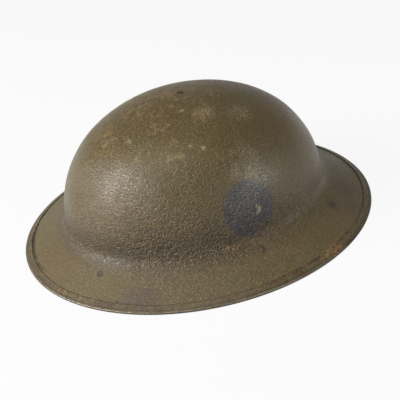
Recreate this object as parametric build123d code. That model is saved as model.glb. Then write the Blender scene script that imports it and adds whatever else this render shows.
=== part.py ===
from build123d import *
import math
import os

# A steel helmet with a domed oval bowl, a sloping brim, a folded rim strip and a riveted liner.
# The front is -Y, the wearer's left is +X, and it stands on its rim strip on the plane z = 0.
# All sizes are in millimetres.

# Steel shell
helmet_length = 311.0
helmet_width = 289.0
crown_height = 115.0
end_brim_reach = 38.7
side_brim_reach = 42.3
dome_power = 2.72
shell_thickness = 0.95
brim_slope = 25.0
brim_blend = 20.0
bend_rise = 24.0
bend_step = 3.0
dome_rings = 16
last_dome_angle = 88.7

# Folded rim strip
strip_thickness = 0.6
strip_gap = 0.05
strip_upper_leaf = 6.5
strip_lower_leaf = 5.5
rest_flat_depth = 0.1
strip_joint_gap = 0.5

# Clearances between neighbouring pieces, and the overrun of cuts
soft_gap = 0.3
seat_gap = 0.1
hole_gap = 0.15
running_gap = 0.08
overrun = 1.0

# Liner
cap_thickness = 1.0
cap_rise = 7.25
hem_thickness = 1.2
band_thickness = 1.4
band_top_share = 0.5226
cushion_count = 12
cushion_radius = 7.0
cushion_bore_radius = 3.5
cushion_rise = 2.0
cushion_margin = 3.0
felt_thickness = 5.0
felt_radius = 48.0

# Crown net and its drawstring
net_twine = 1.5
net_columns = 24
net_rows = 4
net_room = 9.5
net_opening_radius = 13.0
net_border = 3.0
drawstring_radius = 1.1
knot_radius = 1.9
knot_length = 4.0

# Crown rivet and its washers
crown_head_radius = 3.5
crown_head_height = 1.1
crown_shank_radius = 1.6
leather_washer_radius = 9.0
leather_washer_thickness = 1.5
steel_washer_radius = 5.5
steel_washer_thickness = 0.8
crown_tail_radius = 2.6
crown_tail_height = 0.9

# Lugs, their rivets, and the wire bales that carry the chin strap
lug_offset = 9.2
lug_thickness = 1.0
lug_length = 9.0
lug_width = 9.0
lug_seat_gap = 0.2
lug_rivet_head_radius = 2.5
lug_rivet_head_height = 0.9
lug_rivet_shank_radius = 1.4
lug_rivet_tail_radius = 2.2
lug_rivet_tail_height = 0.7
bale_wire_radius = 1.2
bale_width = 21.0
bale_reach = 11.5
bale_corner_radius = 3.0

# Leather tabs and the rivets that the chin strap turns on
tab_leather = 1.8
tab_width = 14.0
strap_rivet_head_radius = 3.6
strap_rivet_head_height = 1.0
strap_rivet_shank_radius = 1.5
strap_rivet_tail_radius = 2.6
strap_rivet_tail_height = 0.7

# Chin strap: its end runs, its leaning flanks and its front, seen from above
strap_width = 15.0
strap_leather = 2.2
strap_drop = 0.5
strap_side_gap = 0.15
strap_end_run = 14.0
flank_width_share = 0.86
flank_reach_share = 0.65
front_width_share = 0.5
front_reach_share = 0.89
bend_share = 0.45

# What is on the straight run of the strap's left flank, with the room that it has to slide
tail_margin = 0.7
buckle_margin = 2.0
buckle_length_share = 0.4
buckle_wire_radius = 0.8
buckle_side_gap = 0.4
buckle_corner_radius = 2.0
keeper_margin = 3.0
keeper_width_share = 0.23
keeper_leather = 1.2

# Worked out from the sizes above
slope = math.radians(brim_slope)
dome_half_length = helmet_length / 2 - end_brim_reach
dome_half_width = helmet_width / 2 - side_brim_reach
fold_radius = shell_thickness / 2 + strip_gap + strip_thickness
fold_level = fold_radius - rest_flat_depth
fold_half_length = helmet_length / 2 - fold_radius
fold_half_width = helmet_width / 2 - fold_radius
edge_level = fold_level + shell_thickness / 2 * math.cos(slope)
edge_half_length = fold_half_length + shell_thickness / 2 * math.sin(slope)
edge_half_width = fold_half_width + shell_thickness / 2 * math.sin(slope)
crease_level = edge_level + (edge_half_width - dome_half_width) * math.tan(slope)
bend_top = crease_level + bend_rise
cap_inset = shell_thickness + soft_gap
felt_inset = cap_inset + cap_thickness + soft_gap
cushion_inset = felt_inset + cushion_radius
band_inset = cushion_inset + cushion_radius + soft_gap
liner_depth = band_inset + band_thickness
cap_low = crease_level + cap_rise
hem_top = cap_low - seat_gap
band_top = crease_level + band_top_share * (crown_height - crease_level)


# Shape of the bowl


def half_axis(level, edge_half, dome_half, inset):
    """Half an axis of the oval at a level, on the surface that lies an inset inside the outer one."""
    rise = abs(level - edge_level) / (crown_height - edge_level - inset)
    dome = (dome_half - inset) * math.sqrt(max(0.0, 1 - rise**dome_power))
    brim = edge_half - (level - edge_level + inset / math.cos(slope)) / math.tan(slope)
    mix = max(brim_blend - abs(dome - brim), 0.0)
    return max(dome, brim) + mix**3 / (6 * brim_blend**2)


def half_width_at(level, inset):
    return half_axis(level, edge_half_width, dome_half_width, inset)


def half_length_at(level, inset):
    return half_axis(level, edge_half_length, dome_half_length, inset)


def crown_level(radius, inset):
    """Level of a surface near the middle of the crown, at a radius from the middle."""
    share = radius / (dome_half_width - inset)
    return edge_level + (crown_height - edge_level - inset) * (1 - share**2) ** (1 / dome_power)


def oval(level, inset):
    """Closed oval wire of the bowl at a level."""
    return Wire.make_ellipse(
        half_width_at(level, inset), half_length_at(level, inset), Plane.XY.offset(level)
    )


def wall_levels(low, high):
    """Levels of the sections between two levels, a bend step apart or less."""
    count = max(2, math.ceil((high - low) / bend_step))
    return [low + (high - low) * i / count for i in range(count + 1)]


def crown_levels(inset, low):
    """Levels from a low one up to the crown, close together where the dome closes."""
    rise = crown_height - edge_level - inset
    start = max(low, bend_top)
    levels = wall_levels(low, start)[:-1] if low < start else []
    first = math.asin(((start - edge_level) / rise) ** (dome_power / 2))
    last = math.radians(last_dome_angle)
    for i in range(dome_rings + 1):
        angle = first + (last - first) * i / dome_rings
        levels.append(edge_level + rise * math.sin(angle) ** (2 / dome_power))
    return levels


def bowl(inset, low):
    """Solid of all that lies inside the surface at an inset, from a level up to the crown."""
    return Solid.make_loft([oval(level, inset) for level in crown_levels(inset, low)])


def oval_wall(outer_inset, inner_inset, low, high):
    """Oval wall between two insets and two levels."""
    outside = Solid.make_loft([oval(level, outer_inset) for level in wall_levels(low, high)])
    levels = wall_levels(low - overrun, high + overrun)
    return outside - Solid.make_loft([oval(level, inner_inset) for level in levels])


def lug_plane():
    """Plane on the outside of the brim at the left lug's rivet: x runs in and up, z points out."""
    lug_place = dome_half_width + lug_offset
    low, high = edge_level, bend_top
    while high - low > overrun / 1000:
        middle = (low + high) / 2
        low, high = (middle, high) if half_width_at(middle, 0) > lug_place else (low, middle)
    rise = overrun / 10
    run = half_width_at(low + rise, 0) - half_width_at(low, 0)
    inwards = Vector(run, 0, rise).normalized()
    return Plane(
        origin=(lug_place, 0, low), x_dir=inwards, z_dir=Vector(inwards.Z, 0, -inwards.X)
    )


# Places of the lugs, bales, tabs and strap on the left side

lug_frame = lug_plane()
lug_top = -shell_thickness - lug_seat_gap
barrel_radius = bale_wire_radius + running_gap + lug_thickness
barrel_place = lug_length / 2
bale_depth = lug_top - barrel_radius
bar = lug_frame.from_local_coords(Vector(barrel_place + bale_reach, 0, bale_depth))
tab_bore_radius = bale_wire_radius + seat_gap
tab_fold_radius = tab_bore_radius + tab_leather
strap_level = bar.Z - tab_fold_radius - strap_drop - strap_width / 2
strap_half_width = bar.X - tab_leather - strap_side_gap - strap_leather / 2
strap_corners = [
    Vector(strap_half_width, 0),
    Vector(strap_half_width, -strap_end_run),
    Vector(strap_half_width * flank_width_share, -dome_half_length * flank_reach_share),
    Vector(strap_half_width * front_width_share, -dome_half_length * front_reach_share),
]
flank_run = strap_corners[2] - strap_corners[1]
corner_run = strap_corners[3] - strap_corners[2]
flank = flank_run.normalized()
flank_frame = Plane(
    origin=(strap_half_width, -strap_end_run, strap_level), x_dir=flank, z_dir=(flank.Y, -flank.X, 0)
)
tail_start = bend_share * strap_end_run + tail_margin
tail_end = flank_run.length - bend_share * min(flank_run.length, corner_run.length) - tail_margin
buckle_length = buckle_length_share * (tail_end - tail_start)
buckle_place = tail_start + buckle_margin + buckle_wire_radius + buckle_length / 2
keeper_width = keeper_width_share * (tail_end - tail_start)
keeper_place = tail_end - keeper_margin - keeper_width / 2
buckle_depth = strap_leather / 2 + soft_gap + buckle_wire_radius
tail_depth = buckle_depth + buckle_wire_radius + soft_gap + strap_leather / 2


# Simple solids that several pieces use


def upright(radius, low, high):
    """Cylinder on the middle axis between two levels."""
    return Pos(0, 0, (low + high) / 2) * Cylinder(radius, high - low)


def along_x(radius, low, high, level):
    """Cylinder along X between two distances from the middle."""
    return Pos((low + high) / 2, 0, level) * Rot(0, 90, 0) * Cylinder(radius, high - low)


def rivet(head_radius, head_height, shank_radius, length, tail_radius, tail_height):
    """Rivet along -Z: its domed head stands on z = 0, and its clinched tail is past the length."""
    ball_radius = (head_radius**2 + head_height**2) / (2 * head_height)
    head = Pos(0, 0, head_height - ball_radius) * Sphere(ball_radius)
    head &= Pos(0, 0, head_height / 2) * Cylinder(head_radius, head_height)
    shank = Pos(0, 0, -length / 2) * Cylinder(shank_radius, length)
    tail = Pos(0, 0, -length - tail_height / 2) * Cylinder(tail_radius, tail_height)
    return head + shank + tail


def wire_ring(length, width, corner_radius, wire_radius):
    """Round wire bent to a rectangle with round corners, about the origin in the XY plane."""
    path = RectangleRounded(length, width, corner_radius).wire()
    section = Plane(origin=path @ 0, z_dir=path % 0) * Circle(wire_radius)
    return sweep(section, path=path)


def on_right(shape):
    return mirror(shape, Plane.YZ)


# Shell and rim strip


def shell():
    """Pressed steel bowl with its brim, drilled for the crown rivet and the lug rivets."""
    body = bowl(0, edge_level) - bowl(shell_thickness, edge_level - overrun)
    body -= upright(crown_shank_radius + hole_gap, band_top, crown_height + overrun)
    drill = Cylinder(lug_rivet_shank_radius + hole_gap, 2 * (shell_thickness + overrun))
    hole = lug_frame.location * drill
    return body - hole - on_right(hole)


def strip_profile():
    """Folded section of the strip about its fold, with the leaves towards -X."""
    slot_half = shell_thickness / 2 + strip_gap
    slot_length = strip_upper_leaf + overrun
    upper = Pos(-strip_upper_leaf / 2, fold_radius / 2) * Rectangle(strip_upper_leaf, fold_radius)
    lower = Pos(-strip_lower_leaf / 2, -fold_radius / 2) * Rectangle(strip_lower_leaf, fold_radius)
    slot = Pos(-slot_length / 2, 0) * Rectangle(slot_length, 2 * slot_half)
    return upper + lower + Circle(fold_radius) - slot - Circle(slot_half)


def rim_strip():
    """Strip folded over the edge of the brim, with a butt joint at the back and a flat to stand on."""
    half_joint = math.degrees(strip_joint_gap / 2 / fold_half_width)
    path = Edge.make_ellipse(
        fold_half_width,
        fold_half_length,
        Plane.XY.offset(fold_level),
        start_angle=90 + half_joint,
        end_angle=450 - half_joint,
    )
    outwards = (path % 0).cross(Vector(0, 0, 1))
    place = Plane(origin=path @ 0, x_dir=outwards, z_dir=-(path % 0))
    strip = sweep(place * Rot(0, 0, -brim_slope) * strip_profile(), path=path)
    ground = Box(helmet_width + overrun, helmet_length + overrun, 2 * fold_radius)
    return strip - Pos(0, 0, -fold_radius) * ground


# Liner


def crown_hole():
    return upright(crown_shank_radius + hole_gap, band_top, crown_height)


def liner_cap():
    """Oilcloth cap that lies against the inside of the dome."""
    cap = bowl(cap_inset, cap_low) - bowl(cap_inset + cap_thickness, cap_low - overrun)
    return cap - crown_hole()


def felt_pad():
    """Round felt pad under the crown, curved like the dome."""
    inner = bowl(felt_inset + felt_thickness, band_top - overrun)
    pad = bowl(felt_inset, band_top) - inner
    return (pad & upright(felt_radius, band_top, crown_height)) - crown_hole()


def headband():
    """Inner oilcloth band that goes round the head."""
    return oval_wall(band_inset, liner_depth, cap_low, band_top)


def liner_hem():
    """Folded hem that joins the cap to the headband under the cushions."""
    return oval_wall(cap_inset, liner_depth, hem_top - hem_thickness, hem_top)


def cushion(number):
    """Short rubber tube that stands the headband off the shell, bent to the wall's curve."""
    angle = 2 * math.pi * (number + 0.5) / cushion_count
    low = cap_low + cushion_rise
    high = band_top - cushion_margin
    points = []
    for level in (low, (low + high) / 2, high):
        across = half_width_at(level, cushion_inset) * math.cos(angle)
        along = half_length_at(level, cushion_inset) * math.sin(angle)
        points.append(Vector(across, along, level))
    path = Edge.make_three_point_arc(*points)
    section = Plane(origin=path @ 0, z_dir=path % 0)
    return sweep(section * (Circle(cushion_radius) - Circle(cushion_bore_radius)), path=path)


# Crown rivet and its washers

leather_washer_top = crown_level(leather_washer_radius, felt_inset + felt_thickness) - seat_gap
steel_washer_top = leather_washer_top - leather_washer_thickness
steel_washer_low = steel_washer_top - steel_washer_thickness


def crown_rivet():
    """Rivet through the crown, clinched over its washers."""
    body = rivet(
        crown_head_radius,
        crown_head_height,
        crown_shank_radius,
        crown_height - steel_washer_low,
        crown_tail_radius,
        crown_tail_height,
    )
    return Pos(0, 0, crown_height) * body


def leather_washer():
    return upright(leather_washer_radius, steel_washer_top, leather_washer_top) - crown_hole()


def crown_washer():
    return upright(steel_washer_radius, steel_washer_low, steel_washer_top) - crown_hole()


# Crown net, made on a ball that is then widened along Y to the oval of the headband

net_base = band_top + seat_gap
net_rise = steel_washer_low - crown_tail_height - net_room - net_base
net_half_width = half_width_at(band_top, band_inset)
net_stretch = half_length_at(band_top, band_inset) / net_half_width
net_ball_radius = (net_half_width**2 + net_rise**2) / (2 * net_rise)


def net_window(inner, outer, angle, half_angle):
    """Upright diamond prism between two radii, about an angle."""
    middle = (inner + outer) / 2
    corners = [(inner, 0), (middle, half_angle), (outer, 0), (middle, -half_angle)]
    points = [(r * math.cos(angle + turn), r * math.sin(angle + turn)) for r, turn in corners]
    return extrude(make_face(Polyline(*points, close=True)), net_rise + overrun)


def net_windows():
    """Staggered rows of diamonds that shrink towards the middle."""
    inner = net_opening_radius + net_border
    ratio = ((net_half_width - net_border) / inner) ** (1 / (net_rows + 1))
    pitch = 2 * math.pi / net_columns
    windows = []
    for row in range(net_rows):
        near = inner * ratio**row
        far = near * ratio**2
        half_angle = pitch / 2 - net_twine / 2 / (near * ratio)
        for column in range(net_columns):
            angle = pitch * (column + row % 2 / 2)
            window = net_window(near + net_twine / 2, far - net_twine / 2, angle, half_angle)
            windows.append(window)
    return windows


def crown_net():
    """Domed twine net with diamond meshes, open in the middle."""
    sheet = Sphere(net_ball_radius) - Sphere(net_ball_radius - net_twine)
    sheet = Pos(0, 0, net_rise - net_ball_radius) * sheet
    room = upright(net_half_width, 0, net_rise) - upright(net_opening_radius, 0, net_rise)
    sheet = (sheet & room) - net_windows()
    return Pos(0, 0, net_base) * scale(sheet, by=(1, net_stretch, 1))


def drawstring():
    """Cord drawn round the inside of the net's opening, with its knot at the front."""
    half_width = net_opening_radius - drawstring_radius - soft_gap
    half_length = net_opening_radius * net_stretch - drawstring_radius - soft_gap
    drop = net_ball_radius - math.sqrt(net_ball_radius**2 - net_opening_radius**2)
    level = net_base + net_rise - drop - net_twine / 2
    path = Edge.make_ellipse(half_width, half_length, Plane.XY.offset(level))
    ring = sweep(Plane(origin=path @ 0, z_dir=path % 0) * Circle(drawstring_radius), path=path)
    knot_place = half_length + drawstring_radius + soft_gap / 2 - knot_radius
    return ring + Pos(0, -knot_place, level) * Rot(0, 90, 0) * Cylinder(knot_radius, knot_length)


# Lugs and wire bales


def bale_lug():
    """Steel lug riveted under the brim, with its end rolled round the bale's wire."""
    leaf = Pos(0, 0, lug_top - lug_thickness / 2) * Box(lug_length, lug_width, lug_thickness)
    turn = Pos(barrel_place, 0, bale_depth) * Rot(90, 0, 0)
    body = leaf + turn * Cylinder(barrel_radius, lug_width)
    body -= turn * Cylinder(bale_wire_radius + running_gap, lug_width + overrun)
    body -= Cylinder(lug_rivet_shank_radius + hole_gap, 2 * (barrel_radius + lug_thickness))
    return lug_frame.location * body


def lug_rivet():
    """Rivet that holds the lug, with its head outside on the brim."""
    body = rivet(
        lug_rivet_head_radius,
        lug_rivet_head_height,
        lug_rivet_shank_radius,
        lug_thickness - lug_top + 2 * seat_gap,
        lug_rivet_tail_radius,
        lug_rivet_tail_height,
    )
    return lug_frame.location * Pos(0, 0, seat_gap) * body


def bale():
    """Wire loop that the strap's tab is folded round."""
    ring = wire_ring(bale_reach, bale_width, bale_corner_radius, bale_wire_radius)
    return lug_frame.location * Pos(barrel_place + bale_reach / 2, 0, bale_depth) * ring


# Leather tabs and chin strap


def strap_tab():
    """Leather folded round the bale and hanging from it, with its two leaves together."""
    half = tab_leather
    hang = bar.Z - strap_level
    leaves = Pos(bar.X, 0, strap_level + hang / 2) * Box(2 * half, tab_width, hang)
    end = along_x(tab_width / 2, bar.X - half, bar.X + half, strap_level)
    turn = Pos(bar.X, 0, bar.Z) * Rot(90, 0, 0)
    body = leaves + end + turn * Cylinder(tab_fold_radius, tab_width)
    body -= turn * Cylinder(tab_bore_radius, tab_width + overrun)
    hole_radius = strap_rivet_shank_radius + hole_gap
    return body - along_x(hole_radius, bar.X - 2 * half, bar.X + 2 * half, strap_level)


def strap_rivet():
    """Rivet through the strap and the tab, with its domed head inside."""
    inside = strap_half_width - strap_leather / 2 - strap_side_gap
    body = rivet(
        strap_rivet_head_radius,
        strap_rivet_head_height,
        strap_rivet_shank_radius,
        bar.X + tab_leather + seat_gap - inside,
        strap_rivet_tail_radius,
        strap_rivet_tail_height,
    )
    return Plane(origin=(inside, 0, strap_level), z_dir=(-1, 0, 0)).location * body


def strap_path():
    """The strap's middle line from its left rivet round the front to its right one."""
    points = strap_corners + [Vector(-p.X, p.Y) for p in reversed(strap_corners)]
    radii = []
    for before, here, after in zip(points, points[1:], points[2:]):
        half_turn = math.radians((here - before).get_angle(after - here)) / 2
        run = min((here - before).length, (after - here).length)
        radii.append(bend_share * run / math.tan(half_turn))
    return Pos(0, 0, strap_level) * FilletPolyline(*points, radius=radii)


def chin_strap():
    """Leather strap that lies on edge round the front of the mouth, with a round end on each rivet."""
    path = strap_path().wire()
    section = Plane(origin=path @ 0, x_dir=(1, 0, 0), z_dir=path % 0)
    band = sweep(section * Rectangle(strap_leather, strap_width), path=path)
    inside = strap_half_width - strap_leather / 2
    outside = strap_half_width + strap_leather / 2
    end = along_x(strap_width / 2, inside, outside, strap_level)
    hole_radius = strap_rivet_shank_radius + running_gap
    hole = along_x(hole_radius, inside - overrun, outside + overrun, strap_level)
    return band + end + on_right(end) - hole - on_right(hole)


def strap_tail():
    """End of the strap, doubled back inside the left flank, with a round tip."""
    half = strap_width / 2
    straight = tail_end - tail_start - half
    outline = Pos(straight / 2, 0) * Rectangle(straight, strap_width)
    outline += Pos(straight, 0) * Circle(half)
    tail = extrude(outline, strap_leather / 2, both=True)
    return flank_frame.location * Pos(tail_start, 0, tail_depth) * tail


def strap_buckle():
    """Wire frame with a middle bar, held between the strap and its tail."""
    width = strap_width + 2 * (buckle_side_gap + buckle_wire_radius)
    frame = wire_ring(buckle_length, width, buckle_corner_radius, buckle_wire_radius)
    frame += Rot(90, 0, 0) * Cylinder(buckle_wire_radius, width)
    return flank_frame.location * Pos(buckle_place, 0, buckle_depth) * frame


def strap_keeper():
    """Leather loop round the strap and its tail."""
    width = strap_width + 2 * soft_gap
    depth = tail_depth + strap_leather + 2 * soft_gap
    wall = 2 * keeper_leather
    loop = Box(keeper_width, width + wall, depth + wall) - Box(keeper_width, width, depth)
    return flank_frame.location * Pos(keeper_place, 0, tail_depth / 2) * loop


# Every piece, written to a file under its own name

pieces = {
    "shell": shell(),
    "rim_strip": rim_strip(),
    "crown_rivet": crown_rivet(),
    "leather_washer": leather_washer(),
    "crown_washer": crown_washer(),
    "liner_cap": liner_cap(),
    "felt_pad": felt_pad(),
    "headband": headband(),
    "liner_hem": liner_hem(),
    "crown_net": crown_net(),
    "drawstring": drawstring(),
    "chin_strap": chin_strap(),
    "strap_tail": strap_tail(),
    "strap_buckle": strap_buckle(),
    "strap_keeper": strap_keeper(),
}
for number in range(cushion_count):
    pieces["cushion_%02d" % (number + 1)] = cushion(number)
paired = {
    "bale_lug": bale_lug(),
    "bale_rivet": lug_rivet(),
    "bale": bale(),
    "strap_tab": strap_tab(),
    "strap_rivet": strap_rivet(),
}
for name, piece in paired.items():
    pieces["left_" + name] = piece
    pieces["right_" + name] = on_right(piece)

os.makedirs("parts", exist_ok=True)
for name, piece in pieces.items():
    export_step(piece, "parts/" + name + ".step")

print("strap turns about X through y = 0, z =", strap_level)
print("buckle and keeper slide along", flank)
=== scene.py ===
import bmesh
import bpy
import math
from mathutils import Matrix, Vector, noise


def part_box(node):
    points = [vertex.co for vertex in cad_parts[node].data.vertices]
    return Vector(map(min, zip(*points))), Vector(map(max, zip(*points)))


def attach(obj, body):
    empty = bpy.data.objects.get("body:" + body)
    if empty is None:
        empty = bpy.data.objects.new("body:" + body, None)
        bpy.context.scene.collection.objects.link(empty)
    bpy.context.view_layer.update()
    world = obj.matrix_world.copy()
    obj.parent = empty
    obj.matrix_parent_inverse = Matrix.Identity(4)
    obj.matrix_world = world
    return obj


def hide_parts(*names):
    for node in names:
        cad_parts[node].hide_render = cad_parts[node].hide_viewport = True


# A pressed steel helmet with a rough olive paint, a folded rim strip, a riveted liner and a chin strap.
# The front is -Y, the wearer's left is +X, and it stands on its rim strip. Lengths are in metres.

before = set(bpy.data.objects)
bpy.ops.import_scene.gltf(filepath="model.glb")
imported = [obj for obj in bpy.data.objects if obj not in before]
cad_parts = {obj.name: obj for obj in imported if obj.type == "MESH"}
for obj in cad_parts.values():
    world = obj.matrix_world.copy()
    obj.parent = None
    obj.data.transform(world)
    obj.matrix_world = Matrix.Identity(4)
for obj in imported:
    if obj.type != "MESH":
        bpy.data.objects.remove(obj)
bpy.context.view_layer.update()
mm = 0.001
upwards = Vector((0, 0, 1))

# Camera and how the picture is framed

camera_azimuth = -23.806
camera_elevation = 29.817
camera_roll = 9.091
camera_distance = 759 * mm
camera_target = Vector((0, 0, 1.5 * mm))
camera_lens = 76.8
camera_shift = (0.00528, 0.0269)

# The bowl and its rim strip, the same sizes as the solid model's

helmet_length = 311 * mm
helmet_width = 289 * mm
crown_height = 115 * mm
dome_half_length = 116.8 * mm
dome_half_width = 102.2 * mm
dome_power = 2.72
shell_thickness = 0.95 * mm
shell_hole = 1.7 * mm
slope = math.radians(25)
brim_blend = 20 * mm
crease_top = 45 * mm
strip_thickness = 0.6 * mm
strip_gap = 0.05 * mm
upper_leaf = 6.5 * mm
lower_leaf = 5.5 * mm
strip_corner = 0.18 * mm
fold_radius = shell_thickness / 2 + strip_gap + strip_thickness
fold_level = fold_radius - 0.1 * mm
fold_half_length = helmet_length / 2 - fold_radius
fold_half_width = helmet_width / 2 - fold_radius
edge_level = fold_level + shell_thickness / 2 * math.cos(slope)
edge_half_length = fold_half_length + shell_thickness / 2 * math.sin(slope)
edge_half_width = fold_half_width + shell_thickness / 2 * math.sin(slope)

# The painted disc: its middle, and its half sizes along Y and Z

disc_place = (97.6 * mm, 0.5 * mm, 46.6 * mm)
disc_half = (21.9 * mm, 21.3 * mm)

# The liner, the bales and the strap, the same places as the solid model's

liner_hole = 1.75 * mm
cap_inset = 1.25 * mm
cap_thickness = 1 * mm
cap_low = 28 * mm
felt_inset = 2.55 * mm
felt_thickness = 5 * mm
felt_radius = 48 * mm
cushion_count = 12
cushion_inset = 9.55 * mm
cushion_radius = 7 * mm
cushion_bore = 3.5 * mm
band_inset = 16.85 * mm
band_thickness = 1.4 * mm
band_top = 70.005 * mm
hem_top = 27.9 * mm
hem_thickness = 1.2 * mm
hem_depth = 16.9 * mm
washer_radius = 9 * mm
net_base = 70.105 * mm
net_rise = 24.192 * mm
net_opening = 13 * mm
net_columns = 24
net_rows = 4
twine_radius = 0.75 * mm
drawstring_radius = 1.1 * mm
bar_place = Vector((95.736, 0, 21.462)) * mm
bar_radius = 1.3 * mm
tab_leather = 1.8 * mm
tab_width = 14 * mm
strap_level = 10.362 * mm
strap_half_width = 92.686 * mm
strap_leather = 2.2 * mm
strap_width = 15 * mm
strap_straight = 14 * mm
bend_share = 0.45
strap_clearance = 0.3 * mm
buckle_wire = 0.8 * mm
keeper_leather = 1.2 * mm
narrowest = 0.5 * mm


# Shape of the bowl


def half_axis(level, edge_half, dome_half, inset):
    """Half an axis of the oval at a level, on the surface that lies an inset inside the outer one."""
    rise = min(1, abs(level - edge_level) / (crown_height - edge_level - inset))
    dome = (dome_half - inset) * math.sqrt(1 - rise**dome_power)
    brim = edge_half - (level - edge_level + inset / math.cos(slope)) / math.tan(slope)
    mix = max(brim_blend - abs(dome - brim), 0)
    return max(dome, brim) + mix**3 / (6 * brim_blend**2)


def half_width_at(level, inset):
    return half_axis(level, edge_half_width, dome_half_width, inset)


def half_length_at(level, inset):
    return half_axis(level, edge_half_length, dome_half_length, inset)


def wall_rings(inset, low, high, spacing):
    """Half width, half length and level of rings that are evenly spaced up a surface of the bowl."""
    fine_steps, crease_steps = 1200, 400
    rise = crown_height - edge_level - inset
    fine = []
    for i in range(fine_steps + 1):
        turn = math.pi / 2 * i / fine_steps
        level = edge_level + rise * math.sin(turn) ** (2 / dome_power)
        fine.append(min(max(level, low), high))
    fine += [low + (min(high, crease_top) - low) * i / crease_steps for i in range(crease_steps)]
    rings = [(half_width_at(z, inset), half_length_at(z, inset), z) for z in sorted(set(fine))]
    runs = [0]
    for before, after in zip(rings, rings[1:]):
        runs.append(runs[-1] + math.hypot(after[0] - before[0], after[2] - before[2]))
    count = max(1, round(runs[-1] / spacing))
    chosen, place = [], 0
    for i in range(count + 1):
        while place < len(runs) - 1 and runs[place] < runs[-1] * i / count:
            place += 1
        chosen.append(rings[place])
    return chosen


def crown_level(radius, inset):
    """The level of a surface of the bowl at a distance from the crown's axis."""
    rise = crown_height - edge_level - inset
    share = radius / (dome_half_width - inset)
    return edge_level + rise * (1 - share**2) ** (1 / dome_power)


def crown_rings(inset, low, hole_radius, spacing):
    """Rings of the bowl from a level up to a small hole in the middle of the crown."""
    top = crown_level(hole_radius, inset)
    rings = wall_rings(inset, low, top, spacing)
    rings[-1] = (hole_radius, hole_radius, top)
    return rings


def inside_edge(point):
    """How far a point lies inside the oval of the brim's edge."""
    return (1 - math.hypot(point.x / edge_half_width, point.y / edge_half_length)) * edge_half_width


def ramp(value, start, end):
    """How far a value has come from a start to an end, from 0 to 1."""
    return min(1, max(0, (value - start) / (end - start)))


def closeness(distance, reach):
    """1 at no distance, falling to 0 at the reach."""
    return max(0, 1 - abs(distance) / reach)


def inwards_from(point, sink=0.0):
    """The direction from a point to the crown's axis, sinking as much as a share of its level says."""
    return Vector((-point.x, -point.y, -sink * point.z)).normalized()


# Meshes


def add_object(name, data):
    made = bpy.data.objects.new(name, data)
    bpy.context.scene.collection.objects.link(made)
    return made


def mesh_piece(name, points, faces, outwards=True):
    """A mesh object with smooth faces that point outwards, with its place in its mesh."""
    mesh = bpy.data.meshes.new(name)
    mesh.from_pydata([tuple(p) for p in points], [], faces)
    if outwards:
        work = bmesh.new()
        work.from_mesh(mesh)
        bmesh.ops.recalc_face_normals(work, faces=work.faces)
        work.to_mesh(mesh)
        work.free()
    mesh.shade_smooth()
    return add_object(name, mesh)


def finish_piece(piece, material, body, slot, *nodes):
    """Gives a piece its material and its body, and hides the solid model's nodes that it stands for. Its
    slot is not used.
    """
    piece.data.materials.clear()
    piece.data.materials.append(material)
    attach(piece, body)
    if nodes:
        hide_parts(*nodes)


def skin(rows, around=True, loop=True):
    """Points and faces of a net of rows, closed around each row, and from the last row to the first."""
    points = [point for row in rows for point in row]
    count = len(rows[0])
    faces = []
    for i in range(len(rows) if loop else len(rows) - 1):
        here, there = i * count, (i + 1) % len(rows) * count
        for j in range(count if around else count - 1):
            k = (j + 1) % count
            faces.append((here + j, here + k, there + k, there + j))
    return points, faces


def oval_row(ring, columns):
    half_width, half_length, level = ring
    turns = [2 * math.pi * i / columns for i in range(columns)]
    return [Vector((half_width * math.cos(t), half_length * math.sin(t), level)) for t in turns]


def lay_uv(piece, columns, length, rows_length):
    """A UV map in metres on a net of rows: u runs along each row, v from row to row."""
    layer = piece.data.uv_layers.new(name="cloth")
    rows = len(piece.data.vertices) // columns
    for polygon in piece.data.polygons:
        places = [divmod(v, columns) for v in polygon.vertices]
        last_row = max(p[0] for p in places) - min(p[0] for p in places) > 1
        last_column = max(p[1] for p in places) - min(p[1] for p in places) > 1
        for corner, (row, column) in zip(polygon.loop_indices, places):
            row += rows if last_row and row == 0 else 0
            column += columns if last_column and column == 0 else 0
            layer.data[corner].uv = (length * column / columns, rows_length * row / rows)


def give_attribute(piece, name, values):
    made = piece.data.attributes.new(name, "FLOAT", "POINT")
    made.data.foreach_set("value", values)


def give_patches(piece, least, more, scale):
    """Worn patches: a least amount everywhere and more of it where a noise says."""
    amounts = [least + more * abs(noise.noise(v.co * scale)) for v in piece.data.vertices]
    give_attribute(piece, "bare", amounts)


def resample(points, spacing):
    """The points of a line, evenly spaced."""
    runs = [0]
    for before, after in zip(points, points[1:]):
        runs.append(runs[-1] + (after - before).length)
    count = max(2, round(runs[-1] / spacing))
    line, place = [], 0
    for i in range(count + 1):
        want = runs[-1] * i / count
        while place < len(runs) - 2 and runs[place + 1] < want:
            place += 1
        share = (want - runs[place]) / max(runs[place + 1] - runs[place], 1e-9)
        line.append(points[place].lerp(points[place + 1], min(max(share, 0), 1)))
    return line


def rounded_section():
    """Cosine, sine and quarter of the points of a rectangle's four round corners."""
    steps = 3
    outline = []
    for quarter in range(4):
        for i in range(steps + 1):
            turn = math.pi / 2 * (quarter + i / steps)
            outline.append((math.cos(turn), math.sin(turn), quarter))
    return outline


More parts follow.
